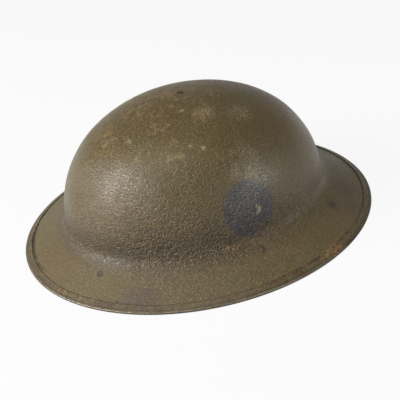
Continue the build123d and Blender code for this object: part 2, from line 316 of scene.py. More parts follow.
def band_along(name, line, across, widths, thickness, corner, loop=False):
    """Strip of leather that follows a line: its width lies across it, with round edges."""
    rows = []
    count = len(line)
    for i, (point, width) in enumerate(zip(line, widths)):
        before = line[i - 1] if loop or i > 0 else point
        after = line[(i + 1) % count] if loop or i < count - 1 else point
        forward = (after - before).normalized()
        side = (across - forward * across.dot(forward)).normalized()
        normal = forward.cross(side)
        round_off = min(corner, width / 2.2, thickness / 2.2)
        row = []
        for cosine, sine, quarter in rounded_section():
            u = (width / 2 - round_off) * (1 if quarter in (0, 3) else -1) + round_off * cosine
            v = (thickness / 2 - round_off) * (1 if quarter in (0, 1) else -1) + round_off * sine
            row.append(point + side * u + normal * v)
        rows.append(row)
    points, faces = skin(rows, loop=loop)
    if not loop:
        size = len(rows[0])
        faces.append(tuple(range(size))[::-1])
        faces.append(tuple(range(len(points) - size, len(points))))
    return mesh_piece(name, points, faces)


def closed_tube(name, line, radius, sides):
    """Round tube that follows a closed line."""
    turns = [2 * math.pi * j / sides for j in range(sides)]
    rows = []
    for i, point in enumerate(line):
        forward = (line[(i + 1) % len(line)] - line[i - 1]).normalized()
        side = (upwards - forward * upwards.dot(forward)).normalized()
        other = forward.cross(side)
        rows.append([point + side * (radius * math.cos(t)) + other * (radius * math.sin(t)) for t in turns])
    return mesh_piece(name, *skin(rows))


# Nodes of materials and of geometry trees


def put(tree, kind, values=None, **settings):
    """Adds a node. A value that is a socket is linked, and any other is set."""
    node = tree.nodes.new(kind)
    for name, value in settings.items():
        setattr(node, name, value)
    for key, value in (values or {}).items():
        if isinstance(value, bpy.types.NodeSocket):
            tree.links.new(value, node.inputs[key])
        else:
            node.inputs[key].default_value = value
    return node


def calculate(tree, operation, first, second=0.0, clamp=False):
    values = {0: first, 1: second}
    return put(tree, "ShaderNodeMath", values, operation=operation, use_clamp=clamp).outputs[0]


def times(tree, first, second):
    return calculate(tree, "MULTIPLY", first, second)


def vector_math(tree, operation, values):
    return put(tree, "ShaderNodeVectorMath", values, operation=operation).outputs[0]


def mix_color(tree, share, first, second):
    return put(tree, "ShaderNodeMix", {"Factor": share, 6: first, 7: second}, data_type="RGBA").outputs[2]


def mix_value(tree, share, first, second):
    return put(tree, "ShaderNodeMix", {0: share, 2: first, 3: second}, data_type="FLOAT").outputs[0]


def span(tree, value, low, high, new_low=0.0, new_high=1.0):
    """Maps a value smoothly from one range to another, held at its ends."""
    values = {0: value, 1: low, 2: high, 3: new_low, 4: new_high}
    return put(tree, "ShaderNodeMapRange", values, interpolation_type="SMOOTHSTEP").outputs[0]


def object_place(tree):
    return put(tree, "ShaderNodeTexCoord").outputs["Object"]


def attribute(tree, name):
    return put(tree, "ShaderNodeAttribute", attribute_name=name).outputs["Fac"]


def stretched(tree, place, scale):
    return put(tree, "ShaderNodeMapping", {0: place, 3: scale}).outputs[0]


def noise_at(tree, place, scale, detail=3.0, roughness=0.5, distortion=0.0):
    values = {"Vector": place, "Scale": scale, "Detail": detail, "Roughness": roughness,
              "Distortion": distortion}
    return put(tree, "ShaderNodeTexNoise", values).outputs[0]


def linear(red, green, blue):
    """A colour written in sRGB levels of 0 to 255, for a shader."""
    levels = [c / 255 for c in (red, green, blue)]
    return tuple(((c + 0.055) / 1.055) ** 2.4 if c > 0.04 else c / 12.92 for c in levels) + (1,)


def new_group(name, inputs, outputs):
    """A shader node group. An input is a number or a colour with its value, or a place with none."""
    group = bpy.data.node_groups.new(name, "ShaderNodeTree")
    for socket, value in inputs.items():
        kind = "Vector" if value is None else "Color" if isinstance(value, tuple) else "Float"
        made = group.interface.new_socket(socket, in_out="INPUT", socket_type="NodeSocket" + kind)
        if value is not None:
            made.default_value = value
    for socket, kind in outputs.items():
        group.interface.new_socket(socket, in_out="OUTPUT", socket_type="NodeSocket" + kind)
    return group, group.nodes.new("NodeGroupInput").outputs, group.nodes.new("NodeGroupOutput").inputs


def new_material(name, **plain):
    """A material with its one shader, whose plain values are set on its own sockets."""
    material = bpy.data.materials.new(name)
    material.use_nodes = True
    shader = material.node_tree.nodes["Principled BSDF"]
    for key, value in plain.items():
        shader.inputs[key.replace("_", " ")].default_value = value
    return material, material.node_tree, shader


def bump(tree, shader, height, strength, distance):
    values = {"Height": height, "Strength": strength, "Distance": distance}
    tree.links.new(put(tree, "ShaderNodeBump", values).outputs[0], shader.inputs["Normal"])


# Effects that several materials share, each a node group that is built once


def mottle_group():
    """Patchy colour: two colours mixed by broad and by fine cloudy noise."""
    inputs = {"Place": None, "Colour": (0.5, 0.5, 0.5, 1), "Other colour": (0.3, 0.3, 0.3, 1),
              "Broad scale": 30.0, "Fine scale": 300.0, "Fine share": 0.4}
    group, start, end = new_group("mottled colour", inputs, {"Colour": "Color", "Mask": "Float"})
    broad = noise_at(group, start["Place"], start["Broad scale"], 4, 0.6, 0.4)
    fine = noise_at(group, start["Place"], start["Fine scale"], 3, 0.6)
    mask = span(group, mix_value(group, start["Fine share"], broad, fine), 0.36, 0.64)
    color = mix_color(group, mask, start["Colour"], start["Other colour"])
    group.links.new(color, end["Colour"])
    group.links.new(mask, end["Mask"])
    return group


def grain_group():
    """Grain: the height of a pebbled and creased surface."""
    inputs = {"Place": None, "Pebble scale": 400.0, "Crease scale": 200.0, "Crease share": 0.5}
    group, start, end = new_group("pebbled grain", inputs, {"Height": "Float"})
    values = {"Vector": start["Place"], "Scale": start["Crease scale"], "Detail": 2.0}
    warp = put(group, "ShaderNodeTexNoise", values).outputs["Color"]
    reach = calculate(group, "DIVIDE", 0.7, start["Crease scale"])
    shift = vector_math(group, "SCALE", {0: warp, 3: reach})
    place = vector_math(group, "ADD", {0: start["Place"], 1: shift})
    values = {"Vector": place, "Scale": start["Pebble scale"], "Smoothness": 0.5}
    cells = put(group, "ShaderNodeTexVoronoi", values, feature="SMOOTH_F1").outputs["Distance"]
    pebbles = calculate(group, "SUBTRACT", 0.9, cells)
    folds = noise_at(group, place, start["Crease scale"], 2, 0.5, 0.6)
    folds = calculate(group, "ABSOLUTE", calculate(group, "SUBTRACT", folds, 0.5))
    creases = span(group, folds, 0.0, 0.16)
    group.links.new(mix_value(group, start["Crease share"], pebbles, creases), end["Height"])
    return group


def wear_group():
    """Wear: a mask that eats into a painted amount with a ragged edge."""
    inputs = {"Place": None, "Amount": 0.0, "Scale": 250.0, "Raggedness": 0.8}
    group, start, end = new_group("ragged wear", inputs, {"Mask": "Float"})
    cloud = calculate(group, "SUBTRACT", noise_at(group, start["Place"], start["Scale"], 5, 0.65), 0.5)
    amount = calculate(group, "ADD", start["Amount"], times(group, cloud, start["Raggedness"]))
    group.links.new(span(group, amount, 0.42, 0.58), end["Mask"])
    return group


mottle = mottle_group()
grain = grain_group()
wear = wear_group()


def mottled(tree, place, shades, broad, fine, share):
    """The colour and the mask of a mottle of two shades, with patches and specks of these scales."""
    values = {"Place": place, "Colour": linear(*shades[0]), "Other colour": linear(*shades[1]),
              "Broad scale": broad, "Fine scale": fine, "Fine share": share}
    node = put(tree, "ShaderNodeGroup", values, node_tree=mottle)
    return node.outputs["Colour"], node.outputs["Mask"]


def grained(tree, place, pebbles, creases, share):
    """The height of a grain with pebbles and creases of these scales."""
    values = {"Place": place, "Pebble scale": pebbles, "Crease scale": creases, "Crease share": share}
    return put(tree, "ShaderNodeGroup", values, node_tree=grain).outputs["Height"]


def worn(tree, place, amount, scale, raggedness):
    """The ragged mask of an amount, which is a socket, a number or the name of an attribute."""
    amount = attribute(tree, amount) if isinstance(amount, str) else amount
    values = {"Place": place, "Amount": amount, "Scale": scale, "Raggedness": raggedness}
    return put(tree, "ShaderNodeGroup", values, node_tree=wear).outputs["Mask"]


# Colours that are laid over others, such as wear, dirt, dust, fibres, and painted shade and highlight, in
# sRGB levels

tints = {
    "green lean": (87, 88, 53),
    "brown lean": (108, 80, 53),
    "dust": (142, 129, 98),
    "yellow crown": (105, 87, 48),
    "rubbed crown": (146, 122, 76),
    "painted shade on the front wall": (54, 42, 28),
    "handled brown": (80, 60, 42),
    "painted shade on the grain": (44, 33, 20),
    "painted highlight on the grain": (146, 130, 92),
    "grime_and_painted_shade": (46, 38, 30),
    "smudge": (84, 68, 66),
    "bare steel": (158, 152, 140),
    "dark rust": (94, 70, 42),
    "light rust": (160, 126, 82),
    "painted shade on the disc grain": (36, 34, 36),
    "painted highlight on the disc grain": (142, 139, 137),
    "chips_and_painted_glints": (164, 154, 126),
    "rivet dirt": (46, 37, 25),
    "rivet steel": (140, 134, 120),
    "red rust": (72, 42, 26),
    "orange rust": (120, 72, 42),
    "cracked cloth": (104, 92, 74),
    "leather dirt": (38, 24, 15),
    "felt fibre": (150, 138, 116),
    "between the plies": (74, 58, 38),
}


def lay(tree, below, tint, share, strength=1.0):
    """Lays a colour over another, as much as a mask and a strength say."""
    color = linear(*(tints[tint] if isinstance(tint, str) else tint))
    return mix_color(tree, times(tree, share, strength), below, color)


# Materials

# A step up and to the front, towards the light, over which the paint's grain tells its lit upper sides from
# its shaded lower ones, for its painted highlight and shade
step_towards_the_light = (-0.16 * mm, -0.3 * mm, 0.5 * mm)
# The creases of the paint run a little longer round the bowl than up it
crease_stretch = (0.85, 0.85, 1.35)


def paint_grain(tree, place, level):
    """The height of the paint's grain, how far it faces the light, and where it is finer."""
    flat_place = stretched(tree, place, crease_stretch)
    towards_the_light = vector_math(tree, "ADD", {0: flat_place, 1: step_towards_the_light})
    # Coarse round the foot of the dome, finer over its top
    finer = span(tree, level, 82 * mm, 102 * mm, 0.0, 0.85)
    heights = []
    for where in (flat_place, towards_the_light):
        coarse = grained(tree, where, 620.0, 430.0, 0.5)
        heights.append(mix_value(tree, finer, coarse, grained(tree, where, 900.0, 660.0, 0.5)))
    return heights[0], calculate(tree, "SUBTRACT", *heights), finer


def aged_paint(tree, place, parts, color):
    """Paint that has leaned to green and brown, dusty on the brim, rubbed on the crown, with painted shade
    low on its front wall.
    """
    lean = span(tree, noise_at(tree, place, 15.0, 3, 0.6), 0.38, 0.62)
    leans = [mix_color(tree, 0.25, color, linear(*tints[name])) for name in ("green lean", "brown lean")]
    color = mix_color(tree, lean, *leans)
    color = lay(tree, color, "dust", span(tree, parts["Z"], 24 * mm, 12 * mm), 0.2)
    # Towards the crown the paint is yellower, and rubbed lighter in scattered spots
    crown = times(tree, span(tree, parts["Z"], 60 * mm, 104 * mm),
                  span(tree, parts["Y"], 0.0, 60 * mm, 1.0, 0.5))
    patches = span(tree, noise_at(tree, place, 34.0, 3), 0.4, 0.62, 0.26, 0.56)
    color = lay(tree, color, "yellow crown", crown, 0.7)
    rubbed = worn(tree, place, times(tree, crown, patches), 190.0, 1.7)
    color = lay(tree, color, "rubbed crown", rubbed, 0.7)
    # Painted shade low on the front wall, above the crease
    wall = times(tree, span(tree, parts["Z"], 48 * mm, 28 * mm), span(tree, parts["Z"], 13 * mm, 20 * mm))
    front = span(tree, parts["Y"], 10 * mm, -40 * mm, 0.0, 0.55)
    return lay(tree, color, "painted shade on the front wall", times(tree, wall, front))


def painted_disc(tree, place, parts, color, grain_shade, tops):
    """The plain round mark that is painted on the left side, worn in places, with painted shade and
    highlight on its grain, and light specks: chips, and painted glints above it and over the crown.
    """
    offsets = []
    for axis, middle, half in (("Y", disc_place[1], disc_half[0]), ("Z", disc_place[2], disc_half[1])):
        offset = calculate(tree, "DIVIDE", calculate(tree, "SUBTRACT", parts[axis], middle), half)
        offsets.append(times(tree, offset, offset))
    edge = times(tree, noise_at(tree, place, 420.0, 4), 0.16)
    reach = calculate(tree, "ADD", calculate(tree, "ADD", *offsets), edge)
    left = calculate(tree, "GREATER_THAN", parts["X"], 40 * mm)
    inside = times(tree, span(tree, reach, 1.16, 1.0), left)
    mark = mottled(tree, place, ((53, 49, 49), (68, 63, 61)), 90.0, 600.0, 0.5)[0]
    # Painted shade on the mark's grain
    mark = lay(tree, mark, "painted shade on the disc grain", grain_shade)
    # Painted highlight on the sides of the mark's grain that face the light, stronger towards its top
    low, high = disc_place[2] - disc_half[1], disc_place[2] + disc_half[1]
    mark = lay(tree, mark, "painted highlight on the disc grain", times(tree, tops, span(tree, parts["Z"], low, high, 0.35, 0.95)))
    kept = calculate(tree, "SUBTRACT", 1.0, times(tree, worn(tree, place, "disc_wear", 260.0, 0.9), 0.8))
    color = mix_color(tree, times(tree, inside, kept), color, mark)
    # Light specks: chips, and painted glints
    return lay(tree, color, "chips_and_painted_glints", worn(tree, place, "chips_and_painted_glints", 1000.0, 2.0), 0.8)


def paint_material(name, lift, shades, rim=False):
    """Rough olive paint mixed with sand, with grime, rust and worn places, and painted shade and highlight
    on its grain; on the rim it wears more.
    """
    material, tree, shader = new_material(name, Roughness=0.35, Specular_IOR_Level=0.66,
                                          Specular_Tint=(1.0, 0.98, 0.93, 1))
    place = object_place(tree)
    parts = put(tree, "ShaderNodeSeparateXYZ", {0: place}).outputs
    height, facing, finer = paint_grain(tree, place, parts["Z"])
    color, mask = mottled(tree, place, shades, 28.0, 420.0, 0.55)
    color = aged_paint(tree, place, parts, color)
    if rim:
        color = lay(tree, color, "handled brown", worn(tree, place, 0.42, 90.0, 1.6), 0.6)
    # Painted shade in the hollows and on the lower sides of the texture, which face away from the light,
    # and painted highlight on its upper sides, which face it
    texture = attribute(tree, "texture")
    hollow = times(tree, span(tree, height, 0.55, 0.26), texture)
    shaded = times(tree, span(tree, facing, -0.02, -0.3), texture)
    tops = times(tree, span(tree, facing, 0.04, 0.3), texture)
    dirt = calculate(tree, "MAXIMUM", times(tree, hollow, 0.62), times(tree, shaded, 0.95), clamp=True)
    color = lay(tree, color, "painted shade on the grain", dirt)
    color = lay(tree, color, "painted highlight on the grain", tops, 0.65)
    # Grime, with painted shade in the groove beside the rim strip and under its fold
    color = lay(tree, color, "grime_and_painted_shade", worn(tree, place, "grime_and_painted_shade", 120.0, 0.7), 0.85)
    color = lay(tree, color, "smudge", attribute(tree, "smudge"), 0.6)
    steel = worn(tree, place, "bare", 330.0, 0.9)
    color = lay(tree, color, "bare steel", steel)
    rust = worn(tree, place, "rust", 520.0, 1.2)
    rusts = [linear(*tints[name]) for name in ("dark rust", "light rust")]
    rust_color = mix_color(tree, span(tree, noise_at(tree, place, 420.0), 0.38, 0.62), *rusts)
    color = mix_color(tree, times(tree, rust, 0.7), color, rust_color)
    if not rim:
        # The disc gets the same painted shade on its grain
        grain_shade = calculate(tree, "MAXIMUM", hollow, shaded, clamp=True)
        color = painted_disc(tree, place, parts, color, grain_shade, tops)
    tree.links.new(color, shader.inputs["Base Color"])
    bare = times(tree, steel, calculate(tree, "SUBTRACT", 1.0, rust))
    tree.links.new(times(tree, bare, 0.6), shader.inputs["Metallic"])
    # Dust dulls the brim and the crease above it
    dulled = times(tree, span(tree, parts["Z"], 30 * mm, 18 * mm), 0.1)
    rough = calculate(tree, "ADD", span(tree, mask, 0.0, 1.0, 0.31, 0.39), dulled)
    tree.links.new(mix_value(tree, bare, rough, 0.45), shader.inputs["Roughness"])
    # The sand lies thicker in some places than in others, and thinner where the grain is finer
    broad = span(tree, noise_at(tree, place, 24.0, 2), 0.36, 0.62, 0.6, 1.0)
    relief = times(tree, calculate(tree, "POWER", texture, 1.4),
                   calculate(tree, "SUBTRACT", 1.0, times(tree, finer, 0.2)))
    bump(tree, shader, times(tree, height, times(tree, relief, broad)), 1.0, lift)
    return material


def rivet_paint_material():
    """The same olive paint on the rivet heads, rubbed thin in places down to the steel."""
    material, tree, shader = new_material("paint on the rivets", Specular_IOR_Level=0.5)
    place = object_place(tree)
    color, mask = mottled(tree, place, ((92, 79, 54), (74, 62, 44)), 120.0, 900.0, 0.5)
    height = grained(tree, place, 900.0, 600.0, 0.5)
    color = lay(tree, color, "rivet dirt", span(tree, height, 0.5, 0.24), 0.5)
    steel = worn(tree, place, 0.2, 700.0, 1.2)
    color = lay(tree, color, "rivet steel", steel)
    tree.links.new(color, shader.inputs["Base Color"])
    tree.links.new(times(tree, steel, 0.6), shader.inputs["Metallic"])
    tree.links.new(span(tree, mask, 0.0, 1.0, 0.34, 0.44), shader.inputs["Roughness"])
    bump(tree, shader, height, 1.0, 0.2 * mm)
    return material


def steel_material(name, shades, rust_amount, roughness):
    """Dark bare steel with rust in its low places."""
    material, tree, shader = new_material(name, Metallic=1.0)
    place = object_place(tree)
    color = mottled(tree, place, shades, 180.0, 1400.0, 0.5)[0]
    rust = worn(tree, place, rust_amount, 420.0, 1.3)
    rusts = [linear(*tints[name]) for name in ("red rust", "orange rust")]
    color = mix_color(tree, rust, color, mix_color(tree, noise_at(tree, place, 900.0), *rusts))
    tree.links.new(color, shader.inputs["Base Color"])
    tree.links.new(calculate(tree, "SUBTRACT", 1.0, rust), shader.inputs["Metallic"])
    tree.links.new(mix_value(tree, rust, roughness, 0.85), shader.inputs["Roughness"])
    height = calculate(tree, "ADD", noise_at(tree, place, 1600.0, 4), rust)
    bump(tree, shader, height, 0.35, 0.12 * mm)
    return material


def oilcloth_material():
    """Black oilcloth: a woven cloth under a dull, cracked coat."""
    material, tree, shader = new_material("black oilcloth", Roughness=0.5, Specular_IOR_Level=0.45)
    place = object_place(tree)
    sheet = put(tree, "ShaderNodeUVMap", uv_map="cloth").outputs[0]
    color = mottled(tree, place, ((43, 40, 37), (58, 53, 47)), 45.0, 600.0, 0.4)[0]
    threads = {"Vector": sheet, "Scale": 320.0, "Distortion": 0.6, "Detail": 1.0}
    weave = times(tree, *(put(tree, "ShaderNodeTexWave", threads, bands_direction=axis).outputs["Fac"]
                          for axis in ("X", "Y")))
    cracks = grained(tree, place, 420.0, 150.0, 0.7)
    cracked = worn(tree, place, "bare", 300.0, 1.1)
    color = lay(tree, color, "cracked cloth", cracked, 0.6)
    tree.links.new(color, shader.inputs["Base Color"])
    tree.links.new(mix_value(tree, cracked, 0.42, 0.8), shader.inputs["Roughness"])
    bump(tree, shader, calculate(tree, "ADD", times(tree, weave, 0.35), cracks), 0.6, 0.35 * mm)
    return material


def leather_material(name, shades, worn_shade):
    """Brown strap leather with a pebbled grain, creases and rubbed edges."""
    material, tree, shader = new_material(name, Roughness=0.55, Specular_IOR_Level=0.4)
    place = object_place(tree)
    color, mask = mottled(tree, place, shades, 60.0, 700.0, 0.4)
    height = grained(tree, place, 1300.0, 260.0, 0.45)
    color = lay(tree, color, "leather dirt", span(tree, height, 0.5, 0.35), 0.5)
    color = lay(tree, color, worn_shade, worn(tree, place, "bare", 350.0, 0.9), 0.7)
    tree.links.new(color, shader.inputs["Base Color"])
    tree.links.new(span(tree, mask, 0.0, 1.0, 0.48, 0.66), shader.inputs["Roughness"])
    bump(tree, shader, height, 0.7, 0.3 * mm)
    return material


def felt_material():
    """Grey-brown wool felt, with fibres lying every way."""
    material, tree, shader = new_material("wool felt", Roughness=0.95, Specular_IOR_Level=0.1,
                                          Sheen_Weight=0.4, Sheen_Roughness=0.5)
    place = object_place(tree)
    color = mottled(tree, place, ((124, 112, 92), (98, 88, 72)), 60.0, 1500.0, 0.6)[0]
    ways = [stretched(tree, place, scale) for scale in ((1.0, 0.25, 1.0), (0.25, 1.0, 1.0))]
    fibres = calculate(tree, "ADD", *(noise_at(tree, way, 2600.0, 4, 0.7, 1.5) for way in ways))
    color = lay(tree, color, "felt fibre", span(tree, fibres, 0.75, 1.3))
    tree.links.new(color, shader.inputs["Base Color"])
    bump(tree, shader, fibres, 0.6, 0.4 * mm)
    return material


def twine_material(name, shades):
    """Two-ply twine: its lay is drawn by how far along and how far round a point is."""
    material, tree, shader = new_material(name, Roughness=0.85, Specular_IOR_Level=0.2,
                                          Sheen_Weight=0.3, Sheen_Roughness=0.5)
    lay_length = 2.2 * mm
    place = object_place(tree)
    color = mottled(tree, place, shades, 70.0, 900.0, 0.4)[0]
    along = times(tree, attribute(tree, "along"), 2 * math.pi / lay_length)
    around = times(tree, attribute(tree, "round"), 4 * math.pi)
    ply = calculate(tree, "ABSOLUTE", calculate(tree, "SINE", calculate(tree, "ADD", along, around)))
    color = lay(tree, color, "between the plies", span(tree, ply, 0.45, 0.0))
    tree.links.new(color, shader.inputs["Base Color"])
    fibres = times(tree, noise_at(tree, place, 3200.0, 3), 0.35)
    bump(tree, shader, calculate(tree, "ADD", ply, fibres), 0.8, 0.35 * mm)
    return material


def rubber_material():
    """Perished grey-black rubber tube with a bloom on it."""
    material, tree, shader = new_material("perished rubber", Roughness=0.75, Specular_IOR_Level=0.3)
    place = object_place(tree)
    color = mottled(tree, place, ((60, 54, 48), (88, 80, 70)), 90.0, 700.0, 0.5)[0]
    tree.links.new(color, shader.inputs["Base Color"])
    bump(tree, shader, grained(tree, place, 900.0, 420.0, 0.6), 0.6, 0.25 * mm)
    return material


sand_paint = paint_material("sanded olive paint", 0.8 * mm, ((108, 90, 53), (90, 74, 41)))
rim_paint = paint_material("worn paint on the rim", 0.3 * mm, ((96, 82, 55), (80, 66, 44)), rim=True)
rivet_paint = rivet_paint_material()
dark_steel = steel_material("dark steel", ((92, 88, 82), (66, 62, 58)), 0.22, 0.45)
fitting_steel = steel_material("old nickelled steel", ((140, 132, 118), (104, 98, 88)), 0.3, 0.38)
oilcloth = oilcloth_material()
brown_leather = leather_material("strap leather", ((112, 74, 46), (88, 56, 34)), (150, 112, 76))
washer_leather = leather_material("liner leather", ((128, 96, 62), (104, 76, 48)), (160, 128, 90))
felt = felt_material()
twine = twine_material("cotton twine", ((178, 160, 126), (152, 132, 98)))
cord_twine = twine_material("drawstring twine", ((162, 140, 104), (136, 114, 82)))
thread = twine_material("sewing thread", ((188, 172, 140), (160, 142, 110)))
rubber = rubber_material()


# The shell

# Place, radius and depth of each dent, in millimetres
dents = [
    ((62, -78, 58), 26, 0.7),
    ((94, -30, 40), 20, 0.5),
    ((20, -96, 60), 30, 0.6),
    ((-60, 70, 62), 28, 0.8),
    ((-88, -40, 48), 24, 0.6),
    ((30, 90, 70), 26, 0.6),
    ((40, -20, 108), 30, 0.5),
    ((113, 0, 16), 7, 0.35),
    ((-113, 0, 16), 7, 0.35),
]

# Marks on the paint: kind, place and reach in millimetres, and how strong
marks = [
    ("rust", (100.9, -24.4, 23.0), 4, 0.66),
    ("rust", (102.3, -20.5, 22.0), 4, 0.66),
    ("rust", (102.0, -16.5, 23.2), 5, 0.5),
    ("grime_and_painted_shade", (100.5, -22.0, 27.0), 9, 0.5),
    ("rust", (131.3, 50.5, 3.4), 9, 0.75),
    ("rust", (129.3, 57.7, 3.1), 8, 0.7),
    ("rust", (134, 42, 3.2), 8, 0.6),
    ("rust", (57.8, -136.2, 3.6), 10, 0.52),
    ("rust", (70, -131, 3.5), 9, 0.52),
    ("rust", (43.7, -142.7, 3.4), 8, 0.5),
    ("rust", (42.0, -134.5, 7.3), 6, 0.5),
    ("rust", (37.3, -145.5, 3.1), 6, 0.5),
    ("rust", (135.9, 37.6, 2.9), 7, 0.52),
    ("smudge", (88.5, 82.2, 14.4), 9, 1.0),
    ("smudge", (68.8, 111.4, 10.9), 17, 0.75),
    ("smudge", (90.9, 100.9, 7.7), 13, 0.6),
    ("grime_and_painted_shade", (88.5, 82.2, 14.4), 7, 0.56),
    ("smudge", (96.0, -98, 7), 13, 1.0),
    ("smudge", (100.5, -93, 6.5), 9, 0.9),
    ("smudge", (88, -105, 7), 9, 0.8),
    ("disc_wear", (100.8, 5.9, 30.0), 7, 0.75),
    ("disc_wear", (97.7, 21.8, 39.3), 8, 0.5),
    ("chips_and_painted_glints", (97.5, 6.7, 47.6), 2.0, 0.8),
    ("chips_and_painted_glints", (98.0, 7.9, 46.0), 2.1, 0.95),
    ("chips_and_painted_glints", (98.3, 8.3, 44.2), 2.2, 1.0),
    ("chips_and_painted_glints", (98.7, 7.8, 42.6), 2.1, 0.95),
    ("chips_and_painted_glints", (99.0, 6.0, 41.6), 2.0, 0.8),
    ("disc_wear", (99.5, 16, 33), 7, 0.5),
    ("grime_and_painted_shade", (53.2, -115.1, 13.4), 4.5, 0.85),
    ("bare", (53.2, -115.1, 13.4), 2.2, 0.7),
    ("chips_and_painted_glints", (65.5, -16.3, 93.8), 4, 0.62),
    # Wide, faint specks: painted glints above the mark and over the crown
    ("chips_and_painted_glints", (79.8, 17.5, 80.1), 12, 0.42),
    ("chips_and_painted_glints", (85.1, -0.9, 74.8), 12, 0.42),
    ("chips_and_painted_glints", (86.1, 10.9, 72.6), 15, 0.42),
    ("chips_and_painted_glints", (75.6, 12.5, 85.5), 15, 0.38),
    ("chips_and_painted_glints", (46.2, 29.6, 102.6), 19, 0.44),
    ("chips_and_painted_glints", (38.1, 2.8, 108.9), 17, 0.42),
    ("chips_and_painted_glints", (25.0, -60.0, 99.7), 4, 0.6),
    ("chips_and_painted_glints", (26.6, -11.5, 111.7), 4, 0.6),
    ("chips_and_painted_glints", (60.0, -24.0, 96.0), 4, 0.52),
]


def unevenness(point):
    """How far the pressed surface stands off its even shape: low lumps and shallow dents."""
    lift = 0.25 * mm * noise.noise(point * 22) + 0.12 * mm * noise.noise(point * 60)
    for place, radius, depth in dents:
        share = (point - Vector(place) * mm).length / (radius * mm)
        if share < 1:
            lift -= depth * mm * (1 - share * share) ** 2
    return lift * ramp(inside_edge(point), 8 * mm, 20 * mm)


def mark_amounts(piece, *kinds):
    """How much of each kind of mark every point of a piece has."""
    amounts = {kind: [0.0] * len(piece.data.vertices) for kind in kinds}
    for index, vertex in enumerate(piece.data.vertices):
        for kind, place, reach, strength in marks:
            share = (vertex.co - Vector(place) * mm).length / (reach * mm)
            if kind in amounts and share < 1:
                amounts[kind][index] = max(amounts[kind][index], strength * (1 - share * share))
    return amounts


def sand_roughness(point):
    """The wall of the dome is the roughest, the crown and the back less so, the brim nearly smooth. This
    amount also sets the grain's painted shade and highlight, which are weaker at the far front, the side
    that faces the light.
    """
    rise = ramp(point.z, 13 * mm, 27 * mm)
    rough = 0.5 + 0.75 * rise * rise * (3 - 2 * rise) - 0.67 * ramp(point.z, 36 * mm, 66 * mm)
    rough *= 1 - 0.35 * ramp(point.y, 0, 80 * mm)
    return rough * (1 - 0.4 * ramp(-point.y, 85 * mm, 110 * mm))


def make_shell():
    """The pressed bowl: the rings of its outer side, and then those of its inner side."""
    columns = 320
    outer = crown_rings(0, edge_level, shell_hole, 1.7 * mm)
    inner = crown_rings(shell_thickness, edge_level - 0.8 * mm, shell_hole, 2.4 * mm)
    rows = [oval_row(ring, columns) for ring in outer + inner[::-1]]
    outside = len(outer) * columns
    shell = mesh_piece("pressed_shell", *skin(rows))
    normals = [vertex.normal.copy() for vertex in shell.data.vertices]
    for index, vertex in enumerate(shell.data.vertices):
        side = 1 if index < outside else -1
        vertex.co = vertex.co + normals[index] * (side * unevenness(vertex.co))
    amounts = mark_amounts(shell, "rust", "grime_and_painted_shade", "smudge", "bare", "disc_wear", "chips_and_painted_glints")
    # The marks are on the outside only, and the inside has a little rust of its own
    for values in amounts.values():
        values[outside:] = [0.0] * (len(values) - outside)
    texture = []
    for index, vertex in enumerate(shell.data.vertices):
        # Painted shade in the groove beside the rim strip, laid with the grime
        beside_strip = closeness(inside_edge(vertex.co) - 6.6 * mm, 2.4 * mm)
        dirt = (0.62 + 0.3 * noise.noise(vertex.co * 14)) * beside_strip
        amounts["grime_and_painted_shade"][index] = max(amounts["grime_and_painted_shade"][index], dirt)
        if index >= outside:
            amounts["rust"][index] = 0.3 * max(0, noise.noise(vertex.co * 18))
        texture.append(sand_roughness(vertex.co) if index < outside else 0.4)
    for kind, values in amounts.items():
        give_attribute(shell, kind, values)
    give_attribute(shell, "texture", texture)
    finish_piece(shell, sand_paint, "helmet", "painted_steel", "shell")


def strip_section(widen):
    """Outline of the folded strip about its fold: the upper leaf, the fold, the lower leaf, the slot."""
    slot = shell_thickness / 2 + strip_gap
    upper = upper_leaf + widen
    flat = upper - strip_corner
    outline = [(flat * i / 8 - flat, fold_radius) for i in range(9)]
    for i in range(1, 12):
        turn = math.pi / 2 - math.pi * i / 12
        outline.append((fold_radius * math.cos(turn), fold_radius * math.sin(turn)))
    outline += [(-lower_leaf * i / 4, -fold_radius) for i in range(5)]
    outline += [(-lower_leaf, -slot), (-lower_leaf / 2, -slot)]
    for i in range(5):
        turn = -math.pi / 2 + math.pi * i / 4
        outline.append((slot * math.cos(turn), slot * math.sin(turn)))
    return outline + [(-upper / 2, slot), (-upper, slot), (-upper, fold_radius - strip_corner)]


def strip_look(u, v, dull):
    """How much bare steel a point of the strip's section shows on the fold's top, where it also stands for
    the fold's highlight, how much painted shade it has under the fold, and whether it is by the leaf's
    edge.
    """
    around = math.degrees(math.atan2(v, u)) if u >= 0 else 90 + 30 * -u / mm
    bright = closeness(around - 78, 30) * (1 - dull) if v > 0 else 0
    dark = ramp(52 + 50 * dull - around, 0, 16) if u >= 0 else closeness(around - 135, 22)
    leaf_edge = 1.0 if u < -upper_leaf + 0.7 * mm and v > 0 else 0.0
    return bright, dark if u >= -3 * mm else 0, leaf_edge


